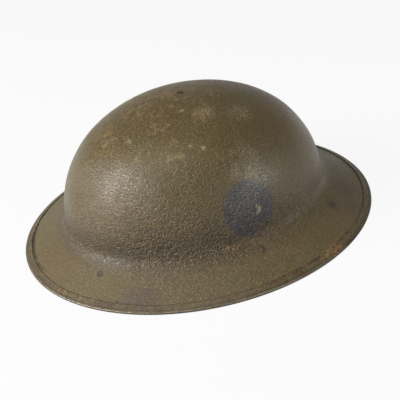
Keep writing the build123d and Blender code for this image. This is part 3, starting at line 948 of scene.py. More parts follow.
def make_rim_strip():
    """The strip folded over the brim's edge, butted together at the back, with a slightly wavy leaf."""
    columns = 421
    joint = 0.25 * mm / fold_half_width
    rows = [[] for _ in strip_section(0)]
    looks = [[] for _ in rows]
    for i in range(columns):
        turn = math.pi / 2 + joint + (2 * math.pi - 2 * joint) * i / (columns - 1)
        middle = Vector((fold_half_width * math.cos(turn), fold_half_length * math.sin(turn), fold_level))
        out = Vector((math.cos(turn) / fold_half_width, math.sin(turn) / fold_half_length, 0)).normalized()
        wave = 0.35 * mm * noise.noise(middle * 40)
        lean = 0.08 * mm * noise.noise(middle * 90 + Vector((5, 0, 0)))
        for row, (u, v) in enumerate(strip_section(wave)):
            lifted = v + (lean * (-u / upper_leaf) if v > 0 and u < 0 else 0)
            across = u * math.cos(slope) + lifted * math.sin(slope)
            up = -u * math.sin(slope) + lifted * math.cos(slope)
            point = middle + out * across + upwards * up
            point.z = max(point.z, 0)
            rows[row].append(point)
            # Bare steel on the fold's top is kept to the front, which faces the light, and round the back,
            # away from it, the painted shade under the fold rises higher
            looks[row].append(strip_look(u, v, ramp(point.y, 0, 60 * mm)))
    points, faces = skin(rows, around=False)
    faces.append(tuple(i * columns for i in range(len(rows))))
    faces.append(tuple(i * columns + columns - 1 for i in range(len(rows)))[::-1])
    strip = mesh_piece("folded_rim_strip", points, faces)
    amounts = mark_amounts(strip, "rust", "grime_and_painted_shade", "smudge", "bare")
    looks = [look for row in looks for look in row]
    for index, (bright, dark, leaf_edge) in enumerate(looks):
        patch = 0.5 + 0.5 * noise.noise(strip.data.vertices[index].co * 25)
        # Bare steel and a little rust on the fold's top, where it also stands for the fold's highlight;
        # grime with painted shade under the fold and along the leaf's inner edge
        more = {
            "bare": bright * (0.45 + 0.4 * patch),
            "rust": bright * (0.1 + 0.3 * (1 - patch)),
            "grime_and_painted_shade": max(0.85 * dark, (0.3 + 0.4 * patch) * leaf_edge),
        }
        for kind, amount in more.items():
            amounts[kind][index] = max(amounts[kind][index], amount)
    amounts["texture"] = [0.5] * len(looks)
    for kind, values in amounts.items():
        give_attribute(strip, kind, values)
    finish_piece(strip, rim_paint, "helmet", "painted_steel", "rim_strip")


make_shell()
make_rim_strip()


# The liner's cloth, felt and rubber


def make_headband():
    """Oilcloth band round the head, turned over in a hem at its top and bottom."""
    columns = 240
    wrinkle = 0.7 * mm
    outer = wall_rings(band_inset, cap_low, band_top, 1.6 * mm)
    inner = []
    for half_width, half_length, level in wall_rings(band_inset, cap_low, band_top, 1.0 * mm):
        near_end = min(level - cap_low, band_top - level)
        hem = 0.55 * mm if near_end < 8 * mm else 0.0
        inset = band_thickness - 0.45 * mm + hem - 0.5 * mm * closeness(near_end, 0.8 * mm)
        inner.append((half_width - inset, half_length - inset, level))
    rows = [oval_row(ring, columns) for ring in outer + inner[::-1]]
    for row in rows[len(outer):]:
        for i, point in enumerate(row):
            # A soft wrinkle between every two cushions, and smaller ones anywhere
            push = 0.5 + 0.5 * math.cos(2 * math.pi * i / columns * cushion_count)
            push += 0.4 * (0.5 + 0.5 * noise.noise(point * 70))
            row[i] = point + inwards_from(point) * (wrinkle * push)
    band = mesh_piece("oilcloth_headband", *skin(rows))
    lay_uv(band, columns, length=0.59, rows_length=0.09)
    bare = []
    for vertex in band.data.vertices:
        near_end = min(vertex.co.z - cap_low, band_top - vertex.co.z)
        bare.append(0.34 * closeness(near_end, 2.5 * mm) + 0.12 * abs(noise.noise(vertex.co * 30)))
    give_attribute(band, "bare", bare)
    finish_piece(band, oilcloth, "helmet", "oilcloth", "headband")


def make_hem():
    """Flat folded hem under the cushions, from the shell's wall to the headband."""
    columns, steps = 240, 10
    half_width, half_length = half_width_at(hem_top, cap_inset), half_length_at(hem_top, cap_inset)
    rows = []
    for side in (1, -1):
        for i in range(steps + 1)[::side]:
            inset = hem_depth * i / steps
            puff = 0.09 * mm + 0.45 * hem_thickness * math.sin(math.pi * i / steps) ** 0.5
            ring = (half_width - inset, half_length - inset, hem_top - hem_thickness / 2 + side * puff)
            rows.append([p + upwards * (0.12 * mm * noise.noise(p * 90)) for p in oval_row(ring, columns)])
    hem = mesh_piece("liner_folded_hem", *skin(rows))
    lay_uv(hem, columns, length=0.63, rows_length=0.036)
    give_patches(hem, 0.2, 0.2, 40)
    finish_piece(hem, oilcloth, "helmet", "oilcloth", "liner_hem")


def make_cap():
    """Thin oilcloth cap against the inside of the dome, sewn from six gores."""
    columns, gores = 192, 6
    outer = crown_rings(cap_inset, cap_low, liner_hole, 3 * mm)
    inner = crown_rings(cap_inset + cap_thickness, cap_low, liner_hole, 3 * mm)
    rows = [oval_row(ring, columns) for ring in outer + inner[::-1]]
    for row in rows[len(outer):]:
        for i, point in enumerate(row):
            turn = gores * i / columns % 1
            seam = closeness(min(turn, 1 - turn), 0.03)
            row[i] = point + inwards_from(point, sink=0.6) * (0.25 * mm * seam)
    cap = mesh_piece("oilcloth_cap", *skin(rows))
    lay_uv(cap, columns, length=0.6, rows_length=0.28)
    give_patches(cap, 0.1, 0.15, 30)
    finish_piece(cap, oilcloth, "helmet", "oilcloth", "liner_cap")


def make_felt():
    """Round felt pad curved to the crown, with a soft, slightly ragged edge."""
    columns, steps = 120, 22
    rows = []
    for inset, side in ((felt_inset, 1), (felt_inset + felt_thickness, -1)):
        for i in range(steps + 1)[::-side]:
            radius = liner_hole + (felt_radius - liner_hole) * i / steps
            share = radius / felt_radius
            soften = 1.1 * mm * max(0, (share - 0.96) / 0.04) ** 2
            row = []
            for spot in oval_row((1, 1, 0), columns):
                point = spot * (radius - abs(0.6 * mm * noise.noise(spot * 7) * share**6))
                point.z = crown_level(radius, inset) - side * soften
                if side < 0:
                    point.z += 0.12 * mm * noise.noise(point * 240)
                row.append(point)
            rows.append(row)
    pad = mesh_piece("crown_felt_pad", *skin(rows))
    finish_piece(pad, felt, "helmet", "felt", "felt_pad")


def cushion_rows(angle):
    """Rows of points of one rubber tube, up its outside and down its bore, with its ends rounded."""
    sides, steps = 28, 14
    low, high = cap_low + 2 * mm, band_top - 3 * mm
    line = []
    for i in range(steps + 1):
        level = low + (high - low) * i / steps
        across = half_width_at(level, cushion_inset) * math.cos(angle)
        along = half_length_at(level, cushion_inset) * math.sin(angle)
        line.append(Vector((across, along, level)))
    rings = [(i, cushion_radius - (0.5 * mm if i in (0, steps) else 0)) for i in range(steps + 1)]
    rings += [(i, cushion_bore + (0.4 * mm if i in (0, steps) else 0)) for i in range(steps + 1)[::-1]]
    rows = []
    for i, radius in rings:
        forward = (line[min(i + 1, steps)] - line[max(i - 1, 0)]).normalized()
        side = Vector((-math.sin(angle), math.cos(angle), 0))
        side = (side - forward * side.dot(forward)).normalized()
        other = forward.cross(side) * (1 - 0.04 * math.sin(math.pi * i / steps))
        turns = [2 * math.pi * j / sides for j in range(sides)]
        rows.append([line[i] + (side * math.cos(t) + other * math.sin(t)) * radius for t in turns])
    return rows


def make_cushions():
    """Twelve short rubber tubes, each bent to the curve of the wall."""
    points, faces = [], []
    for number in range(cushion_count):
        tube_points, tube_faces = skin(cushion_rows(2 * math.pi * (number + 0.5) / cushion_count))
        faces += [tuple(len(points) + corner for corner in face) for face in tube_faces]
        points += tube_points
    cushions = mesh_piece("rubber_cushions", points, faces)
    nodes = ["cushion_%02d" % (number + 1) for number in range(cushion_count)]
    finish_piece(cushions, rubber, "helmet", "rubber", *nodes)


def make_leather_washer():
    """Leather washer under the crown rivet, with a rounded cut edge."""
    box_low, box_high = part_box("leather_washer")
    height = box_high[2] - box_low[2]
    near_edge, round_edge = washer_radius - 0.5 * mm, washer_radius - 0.1 * mm
    # Radius of each ring, and its height as a share of the washer's
    section = [(liner_hole, 0.0), (5.5 * mm, 0.0), (near_edge, 0.0), (round_edge, 0.25)]
    section += [(washer_radius, 0.5), (round_edge, 0.75), (near_edge, 1.0), (liner_hole, 1.0)]
    rings = [(radius, radius, box_low[2] + height * share) for radius, share in section]
    washer = mesh_piece("crown_leather_washer", *skin([oval_row(ring, 64) for ring in rings]))
    radii = [math.hypot(v.co.x, v.co.y) for v in washer.data.vertices]
    give_attribute(washer, "bare", [0.5 * ramp(r, 0.85 * washer_radius, washer_radius) for r in radii])
    finish_piece(washer, washer_leather, "helmet", "leather", "leather_washer")


make_headband()
make_hem()
make_cap()
make_felt()
make_cushions()
make_leather_washer()


# Chin strap, its tail and what is on it


def rounded_corners(corners):
    """The line through the corners, each rounded by an arc as large as its shorter run allows."""
    line = [corners[0]]
    for before, here, after in zip(corners, corners[1:], corners[2:]):
        come, go = (here - before), (after - here)
        run = bend_share * min(come.length, go.length)
        come.normalize()
        go.normalize()
        turn = come.angle(go)
        radius = run / math.tan(turn / 2)
        middle = here + (go - come).normalized() * (radius / math.cos(turn / 2))
        start = here - come * run - middle
        axis = come.cross(go).normalized()
        steps = max(4, round(math.degrees(turn) / 2))
        for i in range(steps + 1):
            line.append(middle + Matrix.Rotation(turn * i / steps, 3, axis) @ start)
    line.append(corners[-1])
    return line


def mirrored(line):
    """A line on the other side of the helmet, from its other end."""
    return [Vector((-p.x, p.y, p.z)) for p in reversed(line)]


# Two corners on each side, as shares of the strap's half width and of the dome's half length
corner_shares = [(0.86, 0.65), (0.5, 0.89)]
strap_corners = [Vector((strap_half_width, -y, strap_level)) for y in (0, strap_straight)]
for x, y in corner_shares:
    strap_corners.append(Vector((x * strap_half_width, -y * dome_half_length, strap_level)))
strap_path = resample(rounded_corners(strap_corners + mirrored(strap_corners)), 3 * mm)
flank_length = (strap_corners[2] - strap_corners[1]).length
flank = (strap_corners[2] - strap_corners[1]).normalized()
flank_inwards = Vector((flank.y, -flank.x, 0))
corner_length = (strap_corners[3] - strap_corners[2]).length
tail_margin = 0.7 * mm
tail_start = bend_share * strap_straight + tail_margin
tail_end = flank_length - bend_share * min(flank_length, corner_length) - tail_margin
tail_depth = 2 * (strap_leather / 2 + strap_clearance + buckle_wire)
keeper_width = 0.23 * (tail_end - tail_start)
keeper_place = tail_end - 3 * mm - keeper_width / 2


def on_flank(along, up, inwards):
    """A point by its place along the strap's left flank, above its middle, and inwards of it."""
    return strap_corners[1] + flank * along + upwards * up + flank_inwards * inwards


def round_end(width, past):
    """Width of a strip at a distance past the middle of its half-round end."""
    return max(narrowest, 2 * math.sqrt(max(0, (width / 2) ** 2 - max(0, past) ** 2)))


def end_spaced(start, end, count):
    """Points from a start to an end, close together at the end, for a round tip."""
    return [start.lerp(end, 1 - (1 - i / count) ** 2) for i in range(count + 1)]


def edge_wear(piece, middle_amount, edge_amount, across, centre, half):
    """Rubbed leather: a little everywhere, more towards the two long edges."""
    values = []
    for vertex in piece.data.vertices:
        share = abs((vertex.co - centre).dot(across)) / half
        patch = 0.5 + 0.5 * noise.noise(vertex.co * 60)
        values.append(middle_amount * patch + edge_amount * ramp(share, 0.82, 1))
    give_attribute(piece, "bare", values)


def make_chin_strap():
    """Leather strap from rivet to rivet, with half-round ends."""
    start = strap_corners[0] + Vector((0, strap_width / 2, 0))
    left_end = end_spaced(strap_corners[0], start, 9)[::-1]
    line = left_end + strap_path[1:-1] + mirrored(left_end)
    widths = [round_end(strap_width, point.y) for point in line]
    strap = band_along("leather_chin_strap", line, upwards, widths, strap_leather, 0.55 * mm)
    edge_wear(strap, 0.22, 0.4, upwards, Vector((0, 0, strap_level)), strap_width / 2)
    finish_piece(strap, brown_leather, "strap", "leather", "chin_strap")


def make_strap_tail():
    """The end of the strap, doubled back inside its left flank, with a half-round tip."""
    start, tip = on_flank(tail_start, 0, tail_depth), on_flank(tail_end, 0, tail_depth)
    neck = tip - flank * (strap_width / 2)
    line = resample([start, neck], 2 * mm) + end_spaced(neck, tip, 10)[1:]
    widths = [round_end(strap_width, (point - neck).dot(flank)) for point in line]
    tail = band_along("leather_strap_tail", line, upwards, widths, strap_leather, 0.55 * mm)
    edge_wear(tail, 0.25, 0.45, upwards, Vector((0, 0, strap_level)), strap_width / 2)
    finish_piece(tail, brown_leather, "strap", "leather", "strap_tail")


def make_keeper():
    """Leather loop round the strap and its tail."""
    past = strap_clearance + keeper_leather / 2
    high = strap_width / 2 + past
    near, far = -strap_leather / 2 - past, tail_depth + strap_leather / 2 + past
    corner = 1.1 * mm
    line = []
    for index, (up, inwards) in enumerate([(high, far), (high, near), (-high, near), (-high, far)]):
        up -= math.copysign(corner, up)
        inwards -= math.copysign(corner, inwards)
        for i in range(5):
            turn = math.pi / 2 * (1 - index - i / 4)
            aside, across = corner * math.cos(turn), corner * math.sin(turn)
            line.append(on_flank(keeper_place, up + aside, inwards + across))
    line = resample(line + [line[0]], 1.2 * mm)[:-1]
    widths = [keeper_width] * len(line)
    keeper = band_along("leather_keeper", line, flank, widths, keeper_leather, 0.35 * mm, loop=True)
    edge_wear(keeper, 0.25, 0.4, flank, on_flank(keeper_place, 0, 0), keeper_width / 2)
    finish_piece(keeper, brown_leather, "keeper", "leather", "strap_keeper")


def make_tab(name, side):
    """Leather tab folded round the bale: up one side, round the wire, and down the other."""
    middle_radius = bar_radius + tab_leather / 2
    # The tab leaves the wire this many degrees below its middle
    leave = 62
    rivet = Vector((0, 0, strap_level))
    down = resample([Vector((0, 0, bar_place.z - 3.4 * mm)), rivet], 1.5 * mm)
    down += end_spaced(rivet, rivet - upwards * (tab_width / 2), 10)[1:]
    line = [Vector((tab_leather / 2 + 0.02 * mm, 0, point.z)) for point in reversed(down)]
    ring = []
    for i in range(21):
        turn = math.radians((180 + 2 * leave) * i / 20 - leave)
        aside, up = middle_radius * math.cos(turn), middle_radius * math.sin(turn)
        ring.append(Vector((aside, 0, bar_place.z + up)))
    line += ring + mirrored(line)
    line = [Vector((side * (bar_place.x + p.x), 0, p.z)) for p in line]
    widths = [round_end(tab_width, strap_level - point.z) for point in line]
    across = Vector((0, 1, 0))
    tab = band_along(name + "_leather_tab", line, across, widths, tab_leather, 0.4 * mm)
    edge_wear(tab, 0.25, 0.45, across, bar_place, tab_width / 2)
    finish_piece(tab, brown_leather, "helmet", "leather", name + "_strap_tab")


make_chin_strap()
make_strap_tail()
make_keeper()
make_tab("left", 1)
make_tab("right", -1)


# Geometry trees: a twine net with its knots, and rows of stitches


def geometry_tree(name, inputs):
    """A geometry tree with named inputs. A whole number is a seed, and any other is a length."""
    tree = bpy.data.node_groups.new(name, "GeometryNodeTree")
    tree.interface.new_socket("Geometry", in_out="INPUT", socket_type="NodeSocketGeometry")
    for socket, value in inputs.items():
        kind = "NodeSocketInt" if isinstance(value, int) else "NodeSocketFloat"
        tree.interface.new_socket(socket, in_out="INPUT", socket_type=kind).default_value = value
    tree.interface.new_socket("Geometry", in_out="OUTPUT", socket_type="NodeSocketGeometry")
    return tree, tree.nodes.new("NodeGroupInput").outputs, tree.nodes.new("NodeGroupOutput").inputs


def store(tree, geometry, name, value):
    """Stores a value at every point of a geometry under a name."""
    values = {"Geometry": geometry, "Name": name, "Value": value}
    settings = {"data_type": "FLOAT", "domain": "POINT"}
    return put(tree, "GeometryNodeStoreNamedAttribute", values, **settings).outputs[0]


def end_tree(tree, geometry, material, end):
    """Ends a tree with its instances made real, smooth and in their material."""
    geometry = put(tree, "GeometryNodeRealizeInstances", {"Geometry": geometry}).outputs[0]
    geometry = put(tree, "GeometryNodeSetShadeSmooth", {"Geometry": geometry}).outputs[0]
    values = {"Geometry": geometry, "Material": material}
    tree.links.new(put(tree, "GeometryNodeSetMaterial", values).outputs[0], end[0])


def bake(name, mesh, tree, values):
    """Runs a geometry tree on a mesh and returns its result as a plain mesh object."""
    holder = add_object(name + "_lines", mesh)
    modifier = holder.modifiers.new("tree", "NODES")
    modifier.node_group = tree
    for item in tree.interface.items_tree:
        if item.in_out == "INPUT" and item.name in values:
            modifier[item.identifier] = values[item.name]
    result = holder.evaluated_get(bpy.context.evaluated_depsgraph_get())
    made = bpy.data.meshes.new_from_object(result)
    made.name = name
    bpy.data.objects.remove(holder)
    return add_object(name, made)


def netting_tree(material):
    """Twine along every edge of a mesh, with a knot at every corner where it is asked for."""
    inputs = {"Twine radius": 0.75 * mm, "Knot size": 1.4 * mm, "Spacing": 1.5 * mm, "Slack": 0.3 * mm,
              "Seed": 3}
    tree, start, end = geometry_tree("knotted twine", inputs)
    lines = put(tree, "GeometryNodeMeshToCurve", {"Mesh": start["Geometry"]}).outputs[0]
    values = {"Curve": lines, "Length": start["Spacing"]}
    lines = put(tree, "GeometryNodeResampleCurve", values, mode="LENGTH").outputs[0]
    place = put(tree, "GeometryNodeInputPosition").outputs[0]
    values = {"Vector": place, "W": start["Seed"], "Scale": 160.0}
    wander = put(tree, "ShaderNodeTexNoise", values, noise_dimensions="4D").outputs["Color"]
    wander = vector_math(tree, "SUBTRACT", {0: wander, 1: (0.5, 0.5, 0.5)})
    wander = vector_math(tree, "SCALE", {0: wander, 3: start["Slack"]})
    lines = put(tree, "GeometryNodeSetPosition", {"Geometry": lines, "Offset": wander}).outputs[0]
    lines = store(tree, lines, "along", put(tree, "GeometryNodeSplineParameter").outputs["Length"])
    values = {"Resolution": 8, "Radius": start["Twine radius"]}
    circle = put(tree, "GeometryNodeCurvePrimitiveCircle", values).outputs[0]
    profile = store(tree, circle, "round", put(tree, "GeometryNodeSplineParameter").outputs["Factor"])
    values = {"Curve": lines, "Profile Curve": profile, "Fill Caps": True}
    tubes = put(tree, "GeometryNodeCurveToMesh", values).outputs[0]
    values = {"Radius": start["Knot size"], "Subdivisions": 3}
    knot = put(tree, "GeometryNodeMeshIcoSphere", values).outputs[0]
    lump = put(tree, "ShaderNodeTexNoise", {"Vector": place, "Scale": 900.0}).outputs["Fac"]
    lump = times(tree, calculate(tree, "SUBTRACT", lump, 0.5), 0.5)
    lump = vector_math(tree, "SCALE", {0: place, 3: lump})
    knot = put(tree, "GeometryNodeSetPosition", {"Geometry": knot, "Offset": lump}).outputs[0]
    # The lay of the twine runs aslant over a knot
    parts = put(tree, "ShaderNodeSeparateXYZ", {0: place}).outputs
    knot = store(tree, knot, "along", calculate(tree, "ADD", parts["X"], parts["Z"]))
    values = {"Name": "knotted"}
    knotted = put(tree, "GeometryNodeInputNamedAttribute", values, data_type="FLOAT").outputs["Attribute"]
    asked = calculate(tree, "GREATER_THAN", knotted, 0.5)
    values = {1: (6.28, 6.28, 6.28), "Seed": start["Seed"]}
    spin = put(tree, "FunctionNodeRandomValue", values, data_type="FLOAT_VECTOR").outputs[0]
    values = {"Points": start["Geometry"], "Selection": asked, "Instance": knot, "Rotation": spin}
    knots = put(tree, "GeometryNodeInstanceOnPoints", values).outputs[0]
    joined = put(tree, "GeometryNodeJoinGeometry")
    for geometry in (tubes, knots):
        tree.links.new(geometry, joined.inputs[0])
    end_tree(tree, joined.outputs[0], material, end)
    return tree


net_half_width = half_width_at(band_top, band_inset)
net_stretch = half_length_at(band_top, band_inset) / net_half_width
net_ball = (net_half_width**2 + net_rise**2) / (2 * net_rise)


def on_net(radius, turn, sag=0.0):
    """A point of the net's middle surface, by its distance and turn about the crown's axis."""
    ball = net_ball - twine_radius - sag
    level = net_rise - net_ball + math.sqrt(max(0, ball**2 - radius**2))
    return Vector((radius * math.cos(turn), net_stretch * radius * math.sin(turn), net_base + level))


def line_mesh(name, points, edges, knotted=None):
    """A mesh of lines alone, with the corners where a knot is asked for."""
    mesh = bpy.data.meshes.new(name)
    mesh.from_pydata([tuple(p) for p in points], edges, [])
    made = mesh.attributes.new("knotted", "FLOAT", "POINT")
    made.data.foreach_set("value", knotted or [0.0] * len(points))
    return mesh


def make_net():
    """Diamond meshes knotted from twine, drawn in at the crown and looped over the headband's top."""
    inner, outer = net_opening + 3 * mm, net_half_width - 1.6 * mm
    ratio = (outer / inner) ** (1 / (net_rows + 1))
    radii = [net_opening + 0.3 * mm] + [inner * ratio**row for row in range(net_rows + 2)]
    last = len(radii) - 1
    pitch = 2 * math.pi / net_columns
    points, knotted, edges = [], [], []
    for row, radius in enumerate(radii):
        sag = 0.8 * mm * math.sin(math.pi * ramp(radius, inner, outer)) if row > 1 else 0
        for column in range(net_columns):
            points.append(on_net(radius, pitch * (column + row % 2 / 2), sag))
            knotted.append(1.0 if 0 < row < last else 0.0)
    for row in range(last):
        for column in range(net_columns):
            for other in (column, column + 1) if row % 2 else (column - 1, column):
                above = (row + 1) * net_columns + other % net_columns
                edges.append((row * net_columns + column, above))
    # The two cords that bound the net are round, with a point midway between its loops
    for row in (0, last):
        for column in range(net_columns):
            points.append(on_net(radii[row], pitch * (column + 0.5)))
            knotted.append(0.0)
            for other in (column, column + 1):
                edges.append((row * net_columns + other % net_columns, len(points) - 1))
    mesh = line_mesh("net_lines", points, edges, knotted)
    values = {"Twine radius": 0.7 * mm, "Knot size": 1.35 * mm, "Slack": 0.5 * mm}
    net = bake("twine_crown_net", mesh, netting_tree(twine), values)
    finish_piece(net, twine, "helmet", "twine", "crown_net")


def lay_twine(piece, sides, step):
    """Gives a round cord how far along and how far round each of its points is."""
    count = len(piece.data.vertices)
    give_attribute(piece, "along", [step * (i // sides) for i in range(count)])
    give_attribute(piece, "round", [i % sides / sides for i in range(count)])


def make_drawstring():
    """Cord round the inside of the net's opening, tied at the front in a small knot."""
    columns, sides = 72, 12
    level = net_base + net_rise - net_ball + math.sqrt(net_ball**2 - net_opening**2) - twine_radius
    inset = drawstring_radius + 0.3 * mm
    half_width, half_length = net_opening - inset, net_opening * net_stretch - inset
    turns = [2 * math.pi * i / columns - math.pi / 2 for i in range(columns)]
    line = [Vector((half_width * math.cos(t), half_length * math.sin(t), level)) for t in turns]
    ring = closed_tube("net_drawstring", line, drawstring_radius * 0.95, sides)
    lay_twine(ring, sides, math.pi * (half_width + half_length) / columns)
    columns, sides = 60, 10
    middle = Vector((0, -half_length + 0.4 * mm, level))
    line = []
    for i in range(columns):
        turn = 2 * math.pi * i / columns
        line.append(middle + Vector((
            0.95 * mm * (math.sin(turn) + 1.1 * math.sin(2 * turn)),
            -0.66 * mm * math.sin(3 * turn),
            0.465 * mm * (math.cos(turn) - 1.1 * math.cos(2 * turn)),
        )))
    knot = closed_tube("drawstring_knot", line, 0.72 * mm, sides)
    lay_twine(knot, sides, 0.25 * mm)
    finish_piece(ring, cord_twine, "helmet", "twine", "drawstring")
    finish_piece(knot, cord_twine, "helmet", "twine", "drawstring")


make_net()
make_drawstring()

stitch_sizes = {"Pitch": 3 * mm, "Stitch length": 2.1 * mm, "Thread": 0.34 * mm}


def stitch_tree(material):
    """A short round stitch at each point of a mesh of lines, laid along its line."""
    tree, start, end = geometry_tree("row of stitches", {**stitch_sizes, "Seed": 5})
    lines = put(tree, "GeometryNodeMeshToCurve", {"Mesh": start["Geometry"]}).outputs[0]
    values = {"Curve": lines, "Length": start["Pitch"]}
    points = put(tree, "GeometryNodeCurveToPoints", values, mode="LENGTH").outputs
    values = {"Segments": 8, "Rings": 8, "Radius": 0.5}
    ball = put(tree, "GeometryNodeMeshUVSphere", values).outputs[0]
    # The lay of the thread shows as slanting bands along a stitch
    place = put(tree, "GeometryNodeInputPosition").outputs[0]
    parts = put(tree, "ShaderNodeSeparateXYZ", {0: place}).outputs
    aslant = calculate(tree, "ADD", parts["Z"], times(tree, parts["X"], 0.4))
    ball = store(tree, ball, "along", times(tree, aslant, 4.4 * mm))
    values = {0: start["Thread"], 1: start["Thread"], 2: start["Stitch length"]}
    size = put(tree, "ShaderNodeCombineXYZ", values).outputs[0]
    values = {"Points": points["Points"], "Instance": ball, "Rotation": points["Rotation"], "Scale": size}
    rows = put(tree, "GeometryNodeInstanceOnPoints", values).outputs[0]
    values = {0: (-0.08, -0.08, -0.08), 1: (0.08, 0.08, 0.08), "Seed": start["Seed"]}
    wobble = put(tree, "FunctionNodeRandomValue", values, data_type="FLOAT_VECTOR").outputs[0]
    values = {"Instances": rows, "Rotation": wobble}
    rows = put(tree, "GeometryNodeRotateInstances", values).outputs[0]
    end_tree(tree, rows, material, end)
    return tree


stitches = stitch_tree(thread)


def stitch_piece(name, lines, body, slot):
    """One piece with stitches along several lines. A closed line repeats its first point."""
    points, edges = [], []
    for line in lines:
        first = len(points)
        points += line
        edges += [(first + i, first + i + 1) for i in range(len(line) - 1)]
    piece = bake(name, line_mesh(name + "_rows", points, edges), stitches, stitch_sizes)
    finish_piece(piece, thread, body, slot)


def oval_line(inset, level):
    """A closed line round a surface of the bowl at a level."""
    row = oval_row((half_width_at(level, inset), half_length_at(level, inset), level), 180)
    return row + row[:1]


def make_liner_stitches():
    """A row near each edge of the headband, and two rows under the hem."""
    depth = band_inset + band_thickness + 0.35 * mm
    rows = [oval_line(depth, level) for level in (cap_low + 6.5 * mm, band_top - 6.5 * mm)]
    stitch_piece("headband_stitches", rows, "helmet", "twine")
    edge = [point + upwards * (0.02 * mm) for point in oval_line(cap_inset, hem_top - hem_thickness)]
    rows = [[point + inwards_from(point) * reach for point in edge] for reach in (4 * mm, 13.5 * mm)]
    stitch_piece("hem_stitches", rows, "helmet", "twine")


def make_strap_stitches():
    """Two rows on each side of the chin strap, near its edges."""
    row_height = 5.9 * mm
    lines = []
    for side in (1, -1):
        for height in (row_height, -row_height):
            line = []
            for before, point, after in zip(strap_path, strap_path[1:], strap_path[2:]):
                forward = (after - before).normalized()
                aside = Vector((-forward.y, forward.x, 0)) * (side * strap_leather / 2)
                line.append(point + aside + upwards * height)
            lines.append(line)
    stitch_piece("strap_stitches", lines, "strap", "leather")


make_liner_stitches()
make_strap_stitches()


# Fittings that keep the solid model's shape

fittings = [
    (rivet_paint, ("crown_rivet", "left_bale_rivet", "right_bale_rivet")),
    (dark_steel, ("left_bale_lug", "right_bale_lug", "left_bale", "right_bale", "crown_washer")),
    (fitting_steel, ("left_strap_rivet", "right_strap_rivet", "strap_buckle")),
]
for finish, node_names in fittings:
    for node_name in node_names:
        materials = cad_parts[node_name].data.materials
        materials.clear()
        materials.append(finish)


# Camera, light and floor

lamp_distance = 1.3
lamp_target = Vector((0, 0, 50 * mm))
# Turn and rise in degrees, size and power of each lamp
lamps = {
    "key lamp": (-77, 31, 0.65, 12.6),
    "front key lamp": (-54, 37, 0.5, 4.6),
    "side lamp": (62, 15, 0.5, 4.3),
    "edge lamp": (-115, 15, 0.5, 0.8),
    "top lamp": (-20, 72, 0.5, 2.6),
    "low lamp": (0, -80, 1.0, 10.0),
}
world_light = 0.08
floor_half = 30.0


def place_camera():
    """Sets the camera, and returns its level direction to the right and the direction back to it."""
    azimuth, elevation = math.radians(camera_azimuth), math.radians(camera_elevation)
    roll = math.radians(camera_roll)
    back = Vector((
        math.cos(azimuth) * math.cos(elevation),
        math.sin(azimuth) * math.cos(elevation),
        math.sin(elevation),
    ))
    level_right = Vector((-math.sin(azimuth), math.cos(azimuth), 0))
    level_up = back.cross(level_right)
    right = level_right * math.cos(roll) - level_up * math.sin(roll)
    up = level_right * math.sin(roll) + level_up * math.cos(roll)
    data = bpy.data.cameras.new("camera")
    data.lens = camera_lens
    data.sensor_width = 36
    data.shift_x, data.shift_y = camera_shift
    data.clip_start = 0.05
    camera = add_object("camera", data)
    turned = Matrix((right, up, back)).transposed().to_4x4()
    camera.matrix_world = Matrix.Translation(camera_target + back * camera_distance) @ turned
    bpy.context.scene.camera = camera
    return level_right, back


def add_lamp(name, place, size, power):
    data = bpy.data.lights.new(name, "AREA")
    data.shape = "DISK"
    data.size = size
    data.energy = power
    lamp = add_object(name, data)
    lamp.location = place
    lamp.rotation_euler = (place - lamp_target).to_track_quat("Z", "Y").to_euler()


def emptied(holder):
    """The node tree of a world or a material, with nothing in it yet."""
    holder.use_nodes = True
    holder.node_tree.nodes.clear()
    return holder.node_tree


def mix_shaders(tree, share, first, second):
    return put(tree, "ShaderNodeMixShader", {0: share, 1: first, 2: second}).outputs[0]


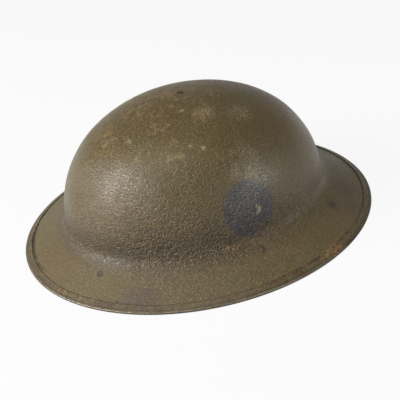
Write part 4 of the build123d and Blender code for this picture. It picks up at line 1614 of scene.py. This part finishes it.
def make_world():
    """A white world. Mirrors see its pale backdrop, and above that a dimmer room."""
    world = bpy.data.worlds.new("studio")
    bpy.context.scene.world = world
    tree = emptied(world)
    path = put(tree, "ShaderNodeLightPath").outputs
    seen = calculate(tree, "MAXIMUM", path["Is Camera Ray"], path["Is Glossy Ray"])
    seen = calculate(tree, "MAXIMUM", seen, path["Is Transmission Ray"])
    direction = put(tree, "ShaderNodeTexCoord").outputs["Generated"]
    rise = put(tree, "ShaderNodeSeparateXYZ", {0: direction}).outputs["Z"]
    backdrop = calculate(tree, "MAXIMUM", span(tree, rise, 0.02, 0.4, 0.5, 0.2), path["Is Camera Ray"])
    values = {"Color": (1, 1, 1, 1), "Strength": mix_value(tree, seen, world_light, backdrop)}
    put(tree, "ShaderNodeOutputWorld", {0: put(tree, "ShaderNodeBackground", values).outputs[0]})


def make_floor():
    """A white floor, which keeps a soft shadow of the object."""
    material = bpy.data.materials.new("white floor")
    tree = emptied(material)
    path = put(tree, "ShaderNodeLightPath").outputs
    seen = calculate(tree, "MAXIMUM", path["Is Camera Ray"], path["Is Glossy Ray"])
    plain = put(tree, "ShaderNodeBsdfDiffuse", {"Color": (0.8, 0.8, 0.8, 1)}).outputs[0]
    white = put(tree, "ShaderNodeEmission", {"Color": (1, 1, 1, 1), "Strength": 1.0}).outputs[0]
    # Far off, the floor fades into the white behind it
    reach = put(tree, "ShaderNodeVectorMath", {0: object_place(tree)}, operation="LENGTH").outputs["Value"]
    share = mix_value(tree, path["Is Camera Ray"], 0.5, span(tree, reach, 1.2, 5.0, 0.9, 1.0))
    shown = mix_shaders(tree, times(tree, seen, share), plain, white)
    # The floor is clear from below, so that the liner can be looked at
    below = put(tree, "ShaderNodeNewGeometry").outputs["Backfacing"]
    below = calculate(tree, "MAXIMUM", below, path["Is Shadow Ray"])
    clear = put(tree, "ShaderNodeBsdfTransparent").outputs[0]
    put(tree, "ShaderNodeOutputMaterial", {0: mix_shaders(tree, below, shown, clear)})
    corners = [(x * floor_half, y * floor_half, 0) for x, y in ((-1, -1), (1, -1), (1, 1), (-1, 1))]
    floor = mesh_piece("floor", corners, [(0, 1, 2, 3)], outwards=False)
    floor.data.materials.append(material)


level_right, back = place_camera()
towards = Vector((back.x, back.y, 0)).normalized()


def lamp_place(turn, rise):
    """A place by its turn to the right of the camera's side and its rise, both in degrees."""
    turn, rise = math.radians(turn), math.radians(rise)
    level = towards * math.cos(turn) + level_right * math.sin(turn)
    return lamp_target + (level * math.cos(rise) + upwards * math.sin(rise)) * lamp_distance


for name, (turn, rise, size, power) in lamps.items():
    add_lamp(name, lamp_place(turn, rise), size, power)
make_world()
make_floor()

view = bpy.context.scene.view_settings
view.view_transform = "Standard"
